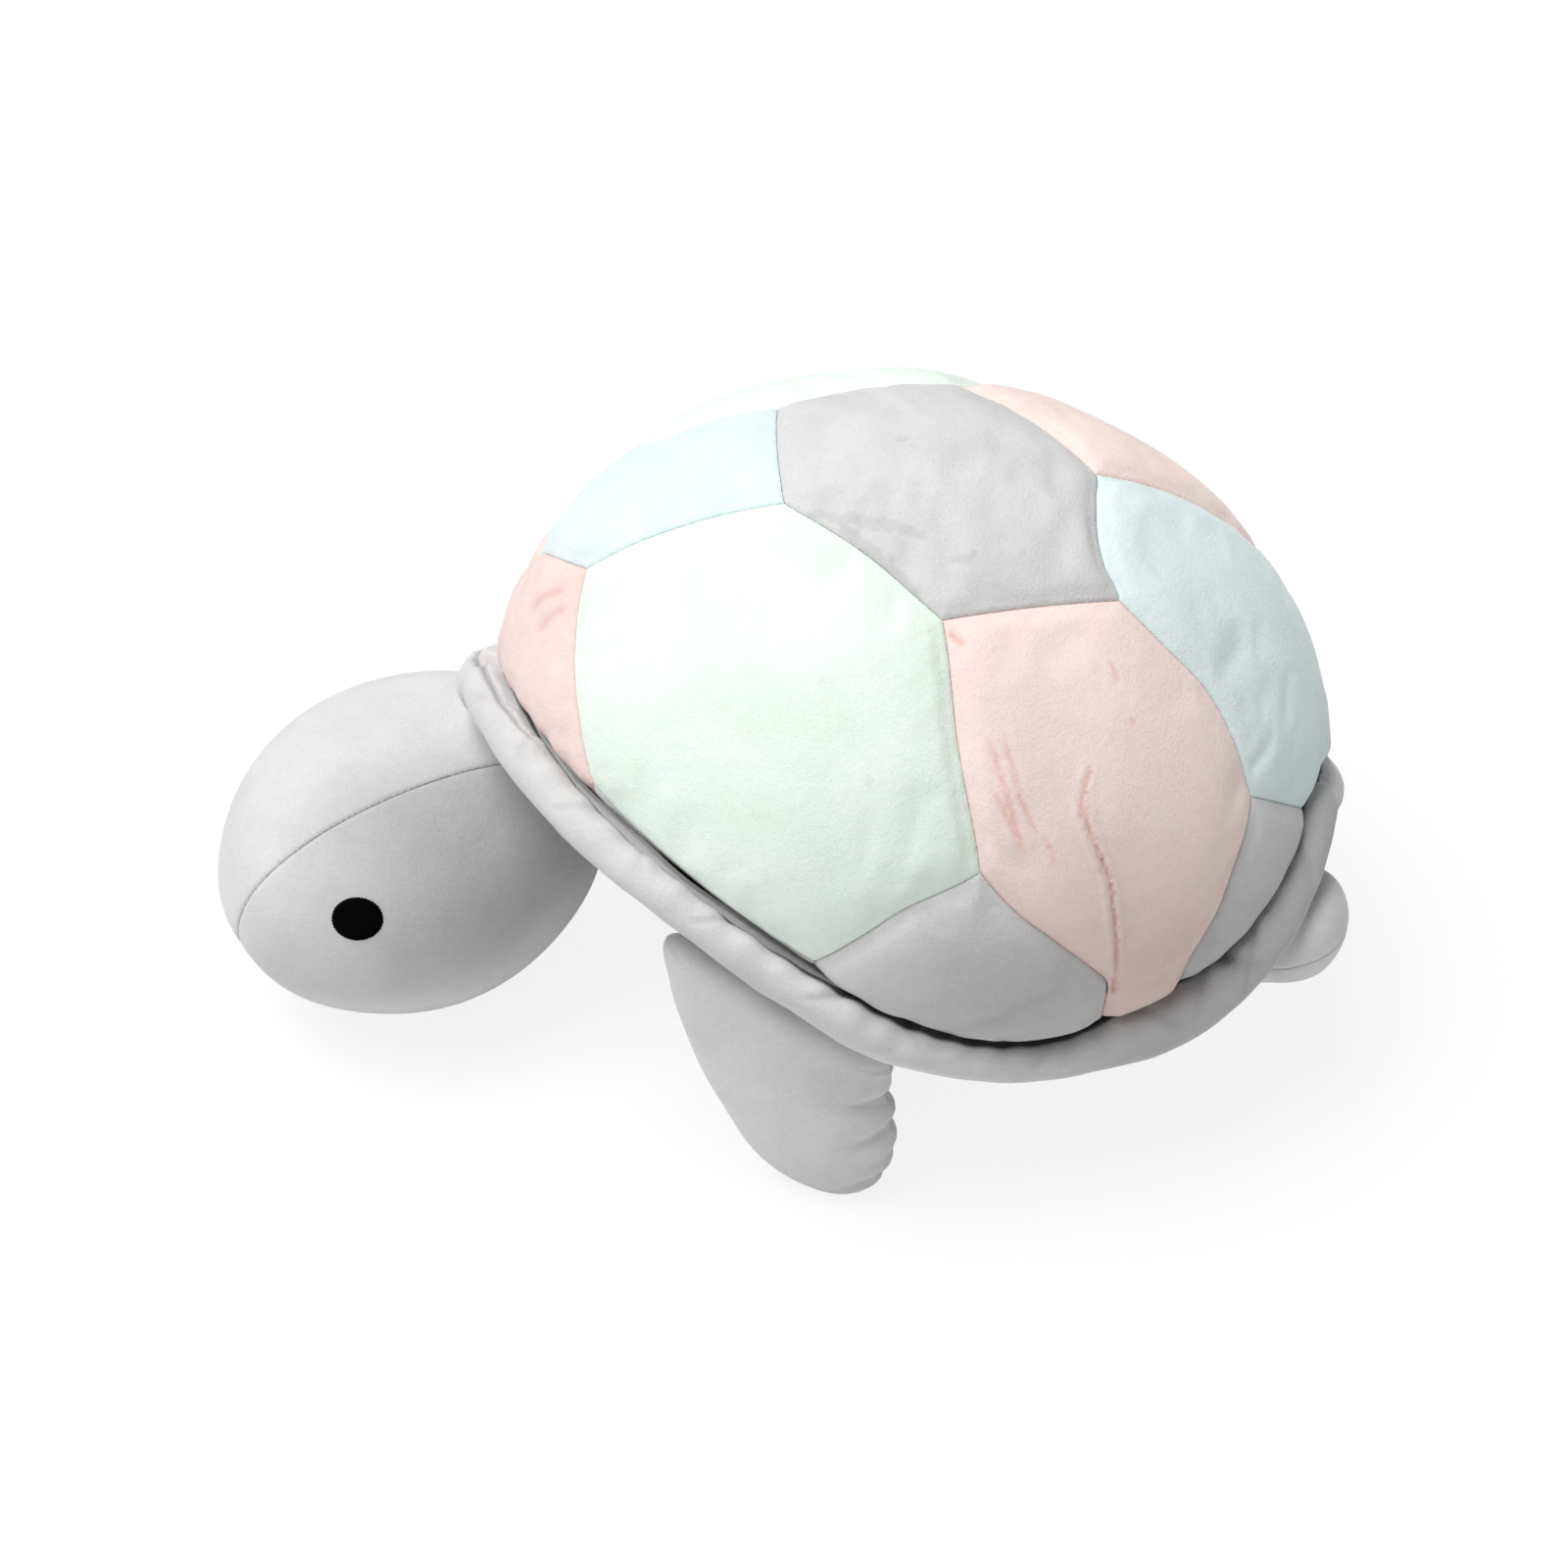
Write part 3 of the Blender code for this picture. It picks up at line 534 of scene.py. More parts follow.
def cut_flat(bm, place, normal, clear=True):
    everything = list(bm.verts) + list(bm.edges) + list(bm.faces)
    bmesh.ops.bisect_plane(bm, geom=everything, dist=0.005 * mm, plane_co=Vector(place),
                           plane_no=Vector(normal), clear_inner=clear)


# Shell

c, s = math.cos(shell_pitch), math.sin(shell_pitch)
shell_turn = np.array(((1, 0, 0), (0, c, s), (0, -s, c)))


def shell_points(down, around):
    """Points of the shell, from the angles down from the top and round from the front."""
    local = np.stack([
        np.sin(down) * np.sin(around),
        -np.sin(down) * np.cos(around),
        np.cos(down)], -1) * shell_half
    return shell_centre + local @ shell_turn.T


def shell_angles(points):
    local = (points - shell_centre) @ shell_turn / shell_half
    down = np.arctan2(np.hypot(local[..., 0], local[..., 1]), local[..., 2])
    return down, np.arctan2(local[..., 0], -local[..., 1])


def shell_normals(points):
    local = (points - shell_centre) @ shell_turn / shell_half**2
    return normalised(local @ shell_turn.T)


def on_shell(points):
    """The nearest points of the shell, along rays from its centre."""
    local = (points - shell_centre) @ shell_turn / shell_half
    return shell_centre + (normalised(local) * shell_half) @ shell_turn.T


def rim_down(around):
    return np.arccos(smooth_share(rim_height_shares, np.degrees(around)))


def roll_line(steps):
    """The roll's centre line: degrees and radians round, centre, outward and upward ways, size."""
    around = np.linspace(-math.pi, math.pi, steps, endpoint=False)
    edge = shell_points(rim_down(around), around)
    out = shell_normals(edge)
    turned = np.degrees(around)
    size = smooth_share(roll_size_shares, turned)[:, None]
    along = normalised(np.roll(edge, -1, axis=0) - np.roll(edge, 1, axis=0))
    up = normalised(np.cross(out, along))
    up *= np.sign(up[:, 2:3])
    thin_front = ((turned > -90) & (turned < 15))[:, None]
    centre = edge + out * (roll_stand_out - roll_radius * (1 - size) * thin_front)
    centre = centre + up * roll_radius * (size - 1) * (1 - thin_front)
    centre = centre + up * smooth_share(roll_lifts, turned)[:, None] * mm
    centre = centre + out * smooth_share(roll_outs, turned)[:, None] * mm
    out = normalised(np.cross(along, up)) * np.sign(np.sum(np.cross(along, up) * out, axis=1))[:, None]
    return turned, around, centre, out, up, size


corners = {name: shell_points(*np.radians(angles)) for name, angles in corner_degrees.items()}


def warped(points):
    """Let the straight cuts stray as the sewn seams do."""
    moved = np.zeros_like(points)
    for start, end, width, bows in seam_bows:
        a, b = corners[start], corners[end]
        across = normalised(np.cross(b - shell_centre, a - shell_centre))
        t = (points - a) @ (b - a) / ((b - a) @ (b - a))
        bow = smooth_share(bows, t) * mm * np.where(t < 0, 0, 1)
        bow = bow * (1 - ease(1.0, 1.3, t))
        reach = np.exp(-(((points - shell_centre) @ across) / (width * mm))**2)
        moved += (bow * reach)[:, None] * across
    return on_shell(points + moved)


def seam_arcs():
    arcs = {}
    for _, names in shell_panels.values():
        for start, end in zip(names, names[1:] + names[:1]):
            arcs[tuple(sorted((start, end)))] = on_shell(
                corners[start] + np.linspace(0, 1, 9)[:, None] * (corners[end] - corners[start]))
    return list(arcs.values())


def make_dome():
    """The shell as one cover over its filling, held along its seams and blown up."""
    bm = bmesh.new()
    bmesh.ops.create_icosphere(bm, subdivisions=6, radius=1.0)
    cut_flat(bm, (0, 0, 0), (0, 0, 1))
    mesh = mesh_of("dome", bm)
    unit = read_points(mesh)
    around = np.arctan2(unit[:, 0], -unit[:, 1])
    tuck = tucked_degrees * ease(95, 118, np.abs(np.degrees(around)))
    down = np.arccos(np.clip(unit[:, 2], -1, 1)) / (math.pi / 2) * (rim_down(around) + np.radians(tuck))
    base = shell_points(down, around)
    write_points(mesh, base)
    held = np.exp(-(np.maximum(rim_down(around) - down, 0) * shell_half[2] / rim_hold)**2)
    for arc in seam_arcs():
        held = np.maximum(held, np.exp(-(to_path(base, arc)[0] / seam_hold)**2))
    moved = blow_up(mesh, held)
    step = moved - base
    length = np.linalg.norm(step, axis=1)
    step *= (np.minimum(length, swell_cap) / np.maximum(length, 1e-9))[:, None]
    write_points(mesh, base + step)
    cover = bpy.data.objects.new("dome", mesh)
    bpy.context.scene.collection.objects.link(cover)
    smooth = cover.modifiers.new("smooth", "SUBSURF")
    smooth.levels = smooth.render_levels = 2
    fine = evaluated(cover)
    form = bmesh.new()
    form.from_mesh(fine)
    bpy.data.objects.remove(cover)
    return form


def evaluated(thing):
    graph = bpy.context.evaluated_depsgraph_get()
    return bpy.data.meshes.new_from_object(thing.evaluated_get(graph))


def blow_up(mesh, held):
    """Cloth with pressure inside, pinned where it is sewn down; gives its new points."""
    cover = bpy.data.objects.new("cover", mesh.copy())
    bpy.context.scene.collection.objects.link(cover)
    pins = cover.vertex_groups.new(name="pins")
    for index, weight in enumerate(held):
        pins.add([index], float(weight), "REPLACE")
    fabric = cover.modifiers.new("fabric", "CLOTH")
    settings = fabric.settings
    settings.quality = 6
    settings.mass = 0.3
    settings.tension_stiffness = 15
    settings.compression_stiffness = 15
    settings.bending_stiffness = 0.4
    settings.use_pressure = True
    settings.uniform_pressure_force = 4.0
    settings.shrink_min = -0.015
    settings.vertex_group_mass = "pins"
    settings.effector_weights.gravity = 0.0
    fabric.collision_settings.use_collision = False
    scene = bpy.context.scene
    for frame_number in range(1, 21):
        scene.frame_set(frame_number)
    points = read_points(evaluated(cover))
    bpy.data.objects.remove(cover)
    scene.frame_set(1)
    return points


dome_form = make_dome()
_, roll_turns, roll_centres, _, _, roll_sizes = roll_line(720)


def make_shell_panel(name, colour, corner_names):
    bm = dome_form.copy()
    points = [corners[corner] for corner in corner_names]
    middle = sum(points) / len(points)
    seams = []
    for start, end in zip(points, points[1:] + points[:1]):
        inward = normalised(np.cross(end - shell_centre, start - shell_centre))
        if inward @ (middle - shell_centre) < 0:
            inward = -inward
        seams.append(inward)
        cut_flat(bm, shell_centre + inward * seam_gap / 2, inward)
    for step in seam_cut_steps:
        for inward in seams:
            cut_flat(bm, shell_centre + inward * step * mm, inward, clear=False)
    mesh = mesh_of(name, bm)
    found = read_points(mesh)
    base = on_shell(found)
    swell = np.sum((found - base) * shell_normals(base), axis=1)
    seam_room = np.min([(base - shell_centre) @ inward for inward in seams], axis=0)
    co = warped(base)
    down, around = shell_angles(co)
    room = (rim_down(around) - down) * shell_half[2]
    normals = shell_normals(co)
    near = np.clip(np.minimum(room, seam_room) / crown_width, 0, 1)
    rise = swell * ease(0, 6 * mm, np.minimum(room, seam_room)) + panel_crown * (1 - (1 - near)**2)
    stitch = np.exp(-(seam_room / seam_room_half)**2)
    rise -= seam_dip * stitch
    rise -= groove_depth * (1 - ease(0, 1, np.clip(room / groove_reach, 0, 1)))**1.6
    rise += lumps(co, 60 * mm, 3) * 0.5 * mm * near
    pucker = lumps(co, 7 * mm, 5) * np.exp(-((seam_room - pucker_place) / pucker_width)**2)
    rise += pucker * 0.12 * mm
    # Painted shade along the seams
    mark = stitch * 0.35
    roll_centre = np.stack([np.interp(around, roll_turns, roll_centres[:, k], period=2 * math.pi)
                            for k in range(3)], -1)
    roll_size = np.interp(around, roll_turns, roll_sizes[:, 0], period=2 * math.pi) * roll_radius
    for cut, depth, width, puff, path in folds:
        if cut == name:
            away, along = to_path(co, shell_points(*np.radians(path).T))
            taper = ease(0, 0.2, along)
            if len(path) < 9:
                taper = ease(0, 0.25, along) * (1 - ease(0.8, 1.0, along))
            line = np.exp(-(away / (width * mm))**2)
            beside = np.exp(-((away - 2.6 * width * mm) / (1.6 * width * mm))**2)
            rise += (puff * beside - depth * line) * mm * taper
            # Painted shade in the fold
            mark = np.maximum(mark, min(0.9, 0.15 + 2.4 * depth) * line * taper)
    pile_and_painted_shade = np.zeros(len(co))
    for cut, strength, width, path in pressed_pile_and_painted_shade:
        if cut == name:
            away, along = to_path(co, shell_points(*np.radians(path).T))
            edge = width * mm * (1 + 0.5 * lumps(co, 5 * mm, 8)) * (0.3 + 0.7 * np.sin(along * math.pi)**0.5)
            within = 1 - ease(0.75, 1.15, away / np.maximum(edge, 0.3 * mm))
            pile_and_painted_shade = np.maximum(pile_and_painted_shade, strength * within)
    co = co + normals * rise[:, None]
    # Painted shade in the dip beside the roll: near black where the shell comes within the table's width of the
    # roll
    gap = np.linalg.norm(co - roll_centre, axis=1) - roll_size
    reach = smooth_share(crevice_shade_widths, np.degrees(around)) * mm
    deep = 1 - ease(0, 1, (gap - 0.3 * mm) / reach)
    # More painted shade: a little near the roll, a light shade over the front pink panels, and more low on both
    # sides, which face away from the light
    soft = 1 - ease(0, 9 * mm, gap)
    front_pink_shade = 0.3 if "front" in name and colour == "pink" else 0.0
    low_side_shade = ease(62, 90, np.degrees(down)) * ease(86, 108, np.abs(np.degrees(around)))
    pile_and_painted_shade = np.max([pile_and_painted_shade, 0.1 * soft, np.full(len(co), front_pink_shade), 0.62 * low_side_shade], axis=0)
    write_points(mesh, co, mark, pile_and_painted_shade, deep * 0.97)
    add_piece(name + "_cloth", mesh, colour, "body", [name], thick=cloth)


for panel_name, (panel_colour, panel_corners) in shell_panels.items():
    make_shell_panel(panel_name, panel_colour, panel_corners)
dome_form.free()


# Rim roll

def make_rim_roll():
    steps, sides = ((1080, 56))
    turned, around, centre, out, up, size = roll_line(steps)
    turn = np.linspace(0, 2 * math.pi, sides, endpoint=False)
    ring = (np.cos(turn)[None, :, None] * out[:, None, :] + np.sin(turn)[None, :, None] * up[:, None, :])
    points = centre[:, None, :] + ring * roll_radius * size[:, :, None]
    flat = points.reshape(-1, 3)
    swell = lumps(flat, 34 * mm, 11) * 0.6 * mm + lumps(flat, 14 * mm, 12) * 0.22 * mm
    swell = swell.reshape(steps, sides)
    ring_degrees = np.degrees(turn)[None, :]
    turned = turned[:, None]
    run = np.concatenate([[0], np.cumsum(np.linalg.norm(np.diff(centre, axis=0), axis=1))])[:, None]
    upper = np.exp(-((ring_degrees - 95) / 45)**2)
    ripple = np.sin(run / roll_ripple_length * 2 * math.pi + 2 * np.sin(run / roll_ripple_drift))
    swell += roll_ripple_height * ripple * upper
    mark = np.zeros((steps, sides))
    for spot, lean, width, depth, low, high in roll_pinches:
        reach = ease(low - 20, low + 15, ring_degrees) * (1 - ease(high - 15, high + 20, ring_degrees))
        line = np.exp(-((turned - spot - lean * (ring_degrees - 90) / 90) / width)**2) * reach
        swell -= depth * mm * line
        # Painted shade in the pinch
        mark = np.maximum(mark, 0.7 * line)
    welt = smooth_share(roll_seam_shares, turned[:, 0])[:, None]
    ring_spot = smooth_share(roll_seam_rings, turned[:, 0])[:, None]
    line = np.exp(-((ring_degrees - ring_spot) / 6)**2) * welt
    swell -= 1.7 * mm * line
    swell -= 1.3 * mm * welt * np.exp(-((ring_degrees - ring_spot - 38) / 26)**2)
    # Painted shade in the seam's fold
    mark = np.maximum(mark, 0.9 * line)
    points = points + ring * swell[:, :, None]
    # Painted shade on the roll: strong from 105 to 180 degrees round, on the side that faces away from the light,
    # and lighter from 8 to 95 degrees
    shade = 0.8 * ease(105, 135, turned) * (1 - ease(172, 180, turned)) * np.ones((1, sides))
    shade = np.maximum(shade, 0.16 * ease(8, 25, turned) * (1 - ease(75, 95, turned)))
    height = np.sum((points - on_shell(points)) * shell_normals(points), axis=2)
    # Painted shade on the roll's inner side where it meets the shell, up to the height that the table gives, and
    # along its seam line
    dark_up_to = smooth_share(roll_shadow_heights, turned[:, 0])[:, None] * mm
    crevice_shade = 0.97 * (1 - ease(-0.9 * mm, 0.6 * mm, height - dark_up_to)) * ease(10, 50, ring_degrees)
    crevice_shade = np.maximum(crevice_shade, 0.4 * line)
    # Light painted shade at the rear, from -180 to -130 degrees round
    shade = np.maximum(shade, 0.2 * ease(-180, -172, turned) * (1 - ease(-150, -130, turned)))
    points = np.concatenate([points, points[:1]])
    mesh = grid_mesh("rim_roll_cloth", points)
    bm = bmesh.new()
    bm.from_mesh(mesh)
    bm.verts.ensure_lookup_table()
    last = steps * sides
    bmesh.ops.weld_verts(bm, targetmap={bm.verts[last + k]: bm.verts[k] for k in range(sides)})
    bmesh.ops.recalc_face_normals(bm, faces=bm.faces)
    mesh = mesh_of("rim_roll_cloth", bm)
    write_points(mesh, read_points(mesh), mark.ravel(), shade.ravel(), crevice_shade.ravel())
    add_piece("rim_roll_cloth", mesh, "grey", "body", ["rim_roll"])


make_rim_roll()


# Belly

def belly_points(share, around):
    edge = shell_points(rim_down(around), around)
    rim = edge - shell_normals(edge) * groove_depth
    sweep = share * math.pi / 2
    reach = np.cos(sweep) * (1 - belly_tuck_share * np.sin(2 * sweep))
    centre = np.array((shell_centre[0], shell_centre[1] - belly_forward, 0.0))
    plan = rim * np.array((1, 1, 0))
    points = centre + (plan - centre) * reach[..., None]
    descent = np.sin(np.minimum(sweep / belly_flat_share, math.pi / 2))
    points[..., 2] = rim[..., 2] - (rim[..., 2] + 0.5 * mm) * descent
    return points


def make_belly():
    columns, rows = ((360, 90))
    around = np.linspace(-math.pi, math.pi, columns, endpoint=False)
    share = np.linspace(0, 0.995, rows)
    grid = belly_points(share[:, None], np.broadcast_to(around, (rows, columns)))
    mesh = grid_mesh("belly_panel_cloth", grid, cap_last=True)
    if mesh.polygons[-1].normal.z > 0:
        mesh.flip_normals()
    co = read_points(mesh)
    rise = lumps(co, 45 * mm, 21) * 0.8 * mm * ease(0, 12 * mm, co[:, 2])
    co = co + mesh_normals(mesh) * rise[:, None]
    co[:, 2] = np.maximum(co[:, 2], 0)
    write_points(mesh, co)
    add_piece("belly_panel_cloth", mesh, "grey", "body", ["belly_panel"], thick=cloth)


make_belly()


# Head, neck and eyes

head_frame = Matrix.Translation(head_place) @ head_turn
head_matrix = np.array(head_frame)


def head_world(local):
    return local @ head_matrix[:3, :3].T + head_matrix[:3, 3]


def head_local(world):
    return (world - head_matrix[:3, 3]) @ head_matrix[:3, :3]


def gusset_plane(side):
    place = np.array((side * gusset_start_share * head_half[0], 0.0, 0.0))
    outward = np.array((side, 0.0, -gusset_spread_share * head_half[0] / head_half[2]))
    return place, normalised(outward)


def make_head():
    ball = bmesh.new()
    bmesh.ops.create_icosphere(ball, subdivisions=7, radius=1.0)
    for vert in ball.verts:
        vert.co = Vector(vert.co[i] * head_half[i] for i in range(3))
    left_place, left_out = gusset_plane(1)
    right_place, right_out = gusset_plane(-1)
    middle, sideways = np.zeros(3), np.array((1.0, 0.0, 0.0))
    cuts = {
        "head_top_gusset": ((left_place, -left_out), (right_place, -right_out)),
        "head_left_side": ((left_place, left_out), (middle, sideways)),
        "head_right_side": ((right_place, right_out), (middle, -sideways)),
    }
    for name, planes in cuts.items():
        bm = ball.copy()
        for place, inward in planes:
            cut_flat(bm, place + inward * seam_gap / 2, inward)
        for step in head_cut_steps:
            for place, inward in planes:
                cut_flat(bm, place + inward * step * mm, inward, clear=False)
        mesh = mesh_of(name, bm)
        local = read_points(mesh)
        seam_room = np.min([(local - place) @ inward for place, inward in planes], axis=0)
        normals = normalised(local / head_half**2)
        stitch = np.exp(-(seam_room / seam_room_half)**2)
        rise = -seam_dip * stitch + lumps(local, 50 * mm, 31) * 0.6 * mm
        rise += 0.5 * mm * (1 - np.exp(-seam_room / (9 * mm)))
        world = head_world(local + normals * rise[:, None])
        world[:, 2] = np.maximum(world[:, 2], 0)
        # Painted shade: on the top gusset near its left seam, towards the back, and on the left side, more towards
        # the back and less low down, where the shell's rim shades the head
        shade = np.zeros(len(local))
        if name == "head_top_gusset":
            left_room = (local - left_place) @ -left_out
            shade = 0.4 * (1 - ease(0, 24 * mm, left_room)) * ease(-0.6, 0.2, local[:, 1] / head_half[1])
        if name == "head_left_side":
            behind = ease(-0.75, 0.4, local[:, 1] / head_half[1])
            shade = (0.14 + 0.66 * behind) * (1 - 0.85 * ease(0.05, 0.65, -local[:, 2] / head_half[2]))
        # Painted shade along the seams, with the painted shade above
        write_points(mesh, world, stitch * 0.5, shade)
        add_piece(name + "_cloth", mesh, "grey", "head", [name], thick=cloth)
    ball.free()


make_head()


def make_neck():
    bm = bmesh.new()
    bmesh.ops.create_icosphere(bm, subdivisions=6, radius=neck_radius)
    mesh = mesh_of("neck_cloth", bm)
    co = read_points(mesh)
    co = normalised(co) * (neck_radius + lumps(co, 18 * mm, 41) * 0.4 * mm)[:, None] + neck_place
    write_points(mesh, co)
    add_piece("neck_cloth", mesh, "grey", "neck", ["neck"])


make_neck()


def make_eye(name, side):
    """A satin-stitched oval: rows of thread, a slightly ragged edge, a low crown."""
    across, along, up = eye_place_shares
    direction = Vector((side * across * head_half[0], along * head_half[1], up * head_half[2])).normalized()
    turn = np.array(direction.to_track_quat("Z", "Y").to_matrix())
    direction = np.array(direction)
    rings, steps = ((60, 240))
    angle = np.linspace(0, 2 * math.pi, steps, endpoint=False)
    radius = np.linspace(0.01, 1.06, rings)[:, None]
    ragged = 1 + 0.018 * np.sin(angle * 41) * np.abs(np.cos(angle)) + 0.012 * np.sin(angle * 67 + 1.0)
    u = radius * np.cos(angle) * eye_half_width * ragged
    v = radius * np.sin(angle) * eye_half_height * ragged
    height = np.where(radius < 1.0, 0.9 * mm * (1 - np.clip(radius, 0, 1)**6) + 0.5 * mm, -1.0 * mm)
    height = height + 0.1 * mm * np.sin(v / (0.42 * mm) * 2 * math.pi) * (radius < 1.0)
    flat = np.stack([u, v, np.zeros_like(u)], -1)
    ray = direction * head_half[0] + flat @ turn.T
    reach = np.sqrt(np.sum((ray / head_half)**2, axis=-1))
    surface = ray / reach[..., None]
    points = surface + normalised(surface / head_half**2) * height[..., None]
    placed = head_world(points.reshape(-1, 3)).reshape(points.shape)
    mesh = closed_mesh(name + "_stitches", grid_mesh(name + "_stitches", placed))
    write_points(mesh, read_points(mesh))
    add_piece(name + "_stitches", mesh, "thread", "head", [name])


make_eye("eye_left", 1)
make_eye("eye_right", -1)


# Flippers

def placed_root(side, root):
    return Matrix.Translation((side * root[0] * mm + shell_centre[0], root[1] * mm, root[2] * mm))


def front_frame(side):
    lean = (Matrix.Rotation(side * -math.radians(9.5), 4, "Z")
            @ Matrix.Rotation(-math.radians(27), 4, "X"))
    axes = Matrix(((0, side, 0), (1, 0, 0), (0, 0, -1))).to_4x4()
    return placed_root(side, front_root) @ lean @ axes @ Matrix.Rotation(-math.radians(4), 4, "X")


def rear_frame(side):
    axes = Matrix(((1, 0, 0), (0, 0, 1), (0, -1, 0))).to_4x4()
    return placed_root(side, rear_root) @ Matrix.Rotation(-side * math.radians(4), 4, "Z") @ axes


def flipper_points(unit, sizes):
    """Points of a unit ball placed on the stuffed paddle, and how far across it they lie."""
    across, out, lengthwise = unit.T
    ring = np.sqrt(np.maximum(1 - lengthwise**2, 0))
    safe = np.maximum(ring, 1e-6)
    across, out = across / safe, out / safe
    blade = lengthwise > 0
    share = np.clip(lengthwise, 0, 1)
    sweep = smooth_share(sizes["sweeps"], share) * sizes["half_width"]
    root = ease(-0.15, 0.0, lengthwise)
    width = ring * (1 + (smooth_share(sizes["widths"], share) - 1) * np.where(blade, 1, root))
    depth = ring * smooth_share(sizes["depths"], share)
    place = np.where(blade, share * sizes["length"], lengthwise * sizes["root_radius"])
    lift = smooth_share(sizes["lifts"], share) * mm if "lifts" in sizes else 0.0
    return np.stack([
        sweep + across * width * sizes["half_width"],
        out * depth * sizes["thickness"] / 2 + lift,
        place], -1), across


def make_flipper(name, frame_matrix, sizes, halves, gathers):
    ball = bmesh.new()
    bmesh.ops.create_icosphere(ball, subdivisions=6, radius=1.0)
    matrix = np.array(frame_matrix)
    for half, way in zip(halves, (1, -1)):
        bm = ball.copy()
        inward = np.array((0.0, way, 0.0))
        cut_flat(bm, inward * 0.004, inward)
        for step in (0.02, 0.05, 0.09, 0.15):
            cut_flat(bm, inward * step, inward, clear=False)
        mesh = mesh_of(name + "_" + half, bm)
        unit = read_points(mesh)
        local, across = flipper_points(unit, sizes)
        normals = normalised(np.stack([
            unit[:, 0] / sizes["half_width"], unit[:, 1] / (sizes["thickness"] / 2),
            unit[:, 2] / sizes["length"]], -1))
        seam_room = np.abs(unit[:, 1]) * sizes["thickness"] / 2
        stitch = np.exp(-(seam_room / seam_room_half)**2)
        rise = -0.25 * mm * stitch + lumps(local, 32 * mm, 51) * 0.5 * mm
        # Painted shade along the seam
        mark = stitch * 0.2
        for place, bend, width, start, depth in gathers:
            off = (unit[:, 2] - place - bend * (1 - across)) / width
            hold = ease(start, 0.97, across)
            rise += mm * depth * hold * (0.16 * np.exp(-((np.abs(off) - 2.4) / 1.2)**2) - np.exp(-off**2))
            # Painted shade in the gather
            mark = np.maximum(mark, 0.5 * hold * np.exp(-off**2))
        local = local + normals * rise[:, None]
        world = local @ matrix[:3, :3].T + matrix[:3, 3]
        world[:, 2] = np.maximum(world[:, 2], 0)
        write_points(mesh, world, mark)
        if np.linalg.det(matrix[:3, :3]) < 0:
            mesh.flip_normals()
        add_piece(f"{name}_{half}_cloth", mesh, "grey", name, [f"{name}_{half}"], thick=cloth)
    mesh = mesh_of(name + "_stuffing", ball)
    unit = read_points(mesh)
    local, _ = flipper_points(unit, sizes)
    middle = np.array((0.0, 0.0, sizes["length"] * 0.4))
    world = (middle + (local - middle) * stuffing_share) @ matrix[:3, :3].T + matrix[:3, 3]
    world[:, 2] = np.maximum(world[:, 2], stuffing_floor)
    write_points(mesh, world)
    add_piece(name + "_stuffing", mesh, "fibre", name, [name + "_fill"])


# Gathers along a flipper's rear edge: where, how far they bend towards the root,
# how wide, from where across the flipper, and how deep in mm
front_gathers = (
    (0.16, 0.18, 0.036, 0.35, 3.4), (0.30, 0.42, 0.036, 0.45, 2.4), (0.47, 0.5, 0.03, 0.6, 0.7),
    (0.62, 0.45, 0.032, 0.55, 1.7),
)
rear_gathers = ((0.5, 0.0, 0.05, 0.7, 0.6),)
far_rear_sizes = {
    **rear_sizes, "length": 42.0 * mm, "widths": ((0, 1), (1, 1)), "depths": ((0, 0.757), (0.3, 0.9), (1, 1)),
    "lifts": ((0, 0), (0.4, 1.5), (1, 5.0)),
}
make_flipper("front_left_flipper", front_frame(1), front_sizes, ("outer", "inner"), front_gathers)
make_flipper("front_right_flipper", front_frame(-1), front_sizes, ("outer", "inner"), front_gathers)
make_flipper("rear_left_flipper", rear_frame(1), rear_sizes, ("bottom", "top"), rear_gathers)
make_flipper("rear_right_flipper", rear_frame(-1), far_rear_sizes, ("bottom", "top"), rear_gathers)


# Stuffing of body and head

def make_body_stuffing():
    columns, rows = 96, 24
    around = np.linspace(-math.pi, math.pi, columns, endpoint=False)
    down = np.linspace(0.02, 0.93, rows)[:, None] * rim_down(around)[None, :]
    upper = shell_points(down, np.broadcast_to(around, down.shape))
    upper = upper - shell_normals(upper) * 5 * mm
    share = np.linspace(0.12, 0.98, rows)
    lower = belly_points(share[:, None], np.broadcast_to(around, (rows, columns)))
    middle = np.array((shell_centre[0], shell_centre[1] - belly_forward, 60 * mm))
    lower = middle + (lower - middle) * 0.93
    mesh = closed_mesh("body_stuffing", grid_mesh("body_stuffing", np.concatenate([upper, lower])))
    write_points(mesh, read_points(mesh))
    add_piece("body_stuffing", mesh, "fibre", "body", ["body_fill"])


def make_head_stuffing():
    bm = bmesh.new()
    bmesh.ops.create_icosphere(bm, subdivisions=5, radius=1.0)
    mesh = mesh_of("head_stuffing", bm)
    world = head_world(read_points(mesh) * (head_half - 4 * mm))
    world[:, 2] = np.maximum(world[:, 2], stuffing_floor)
    write_points(mesh, world)
    add_piece("head_stuffing", mesh, "fibre", "head", ["head_fill"])


make_body_stuffing()
make_head_stuffing()


# Floor, light and camera

def seen_rays(tree):
    rays = node(tree, "ShaderNodeLightPath")
    return number(tree, "MAXIMUM", rays.outputs["Is Camera Ray"], rays.outputs["Is Glossy Ray"])


def mixed_shader(tree, *sources):
    mix = node(tree, "ShaderNodeMixShader")
    for socket, source in zip(mix.inputs, sources):
        tree.links.new(source, socket)
    return mix.outputs[0]


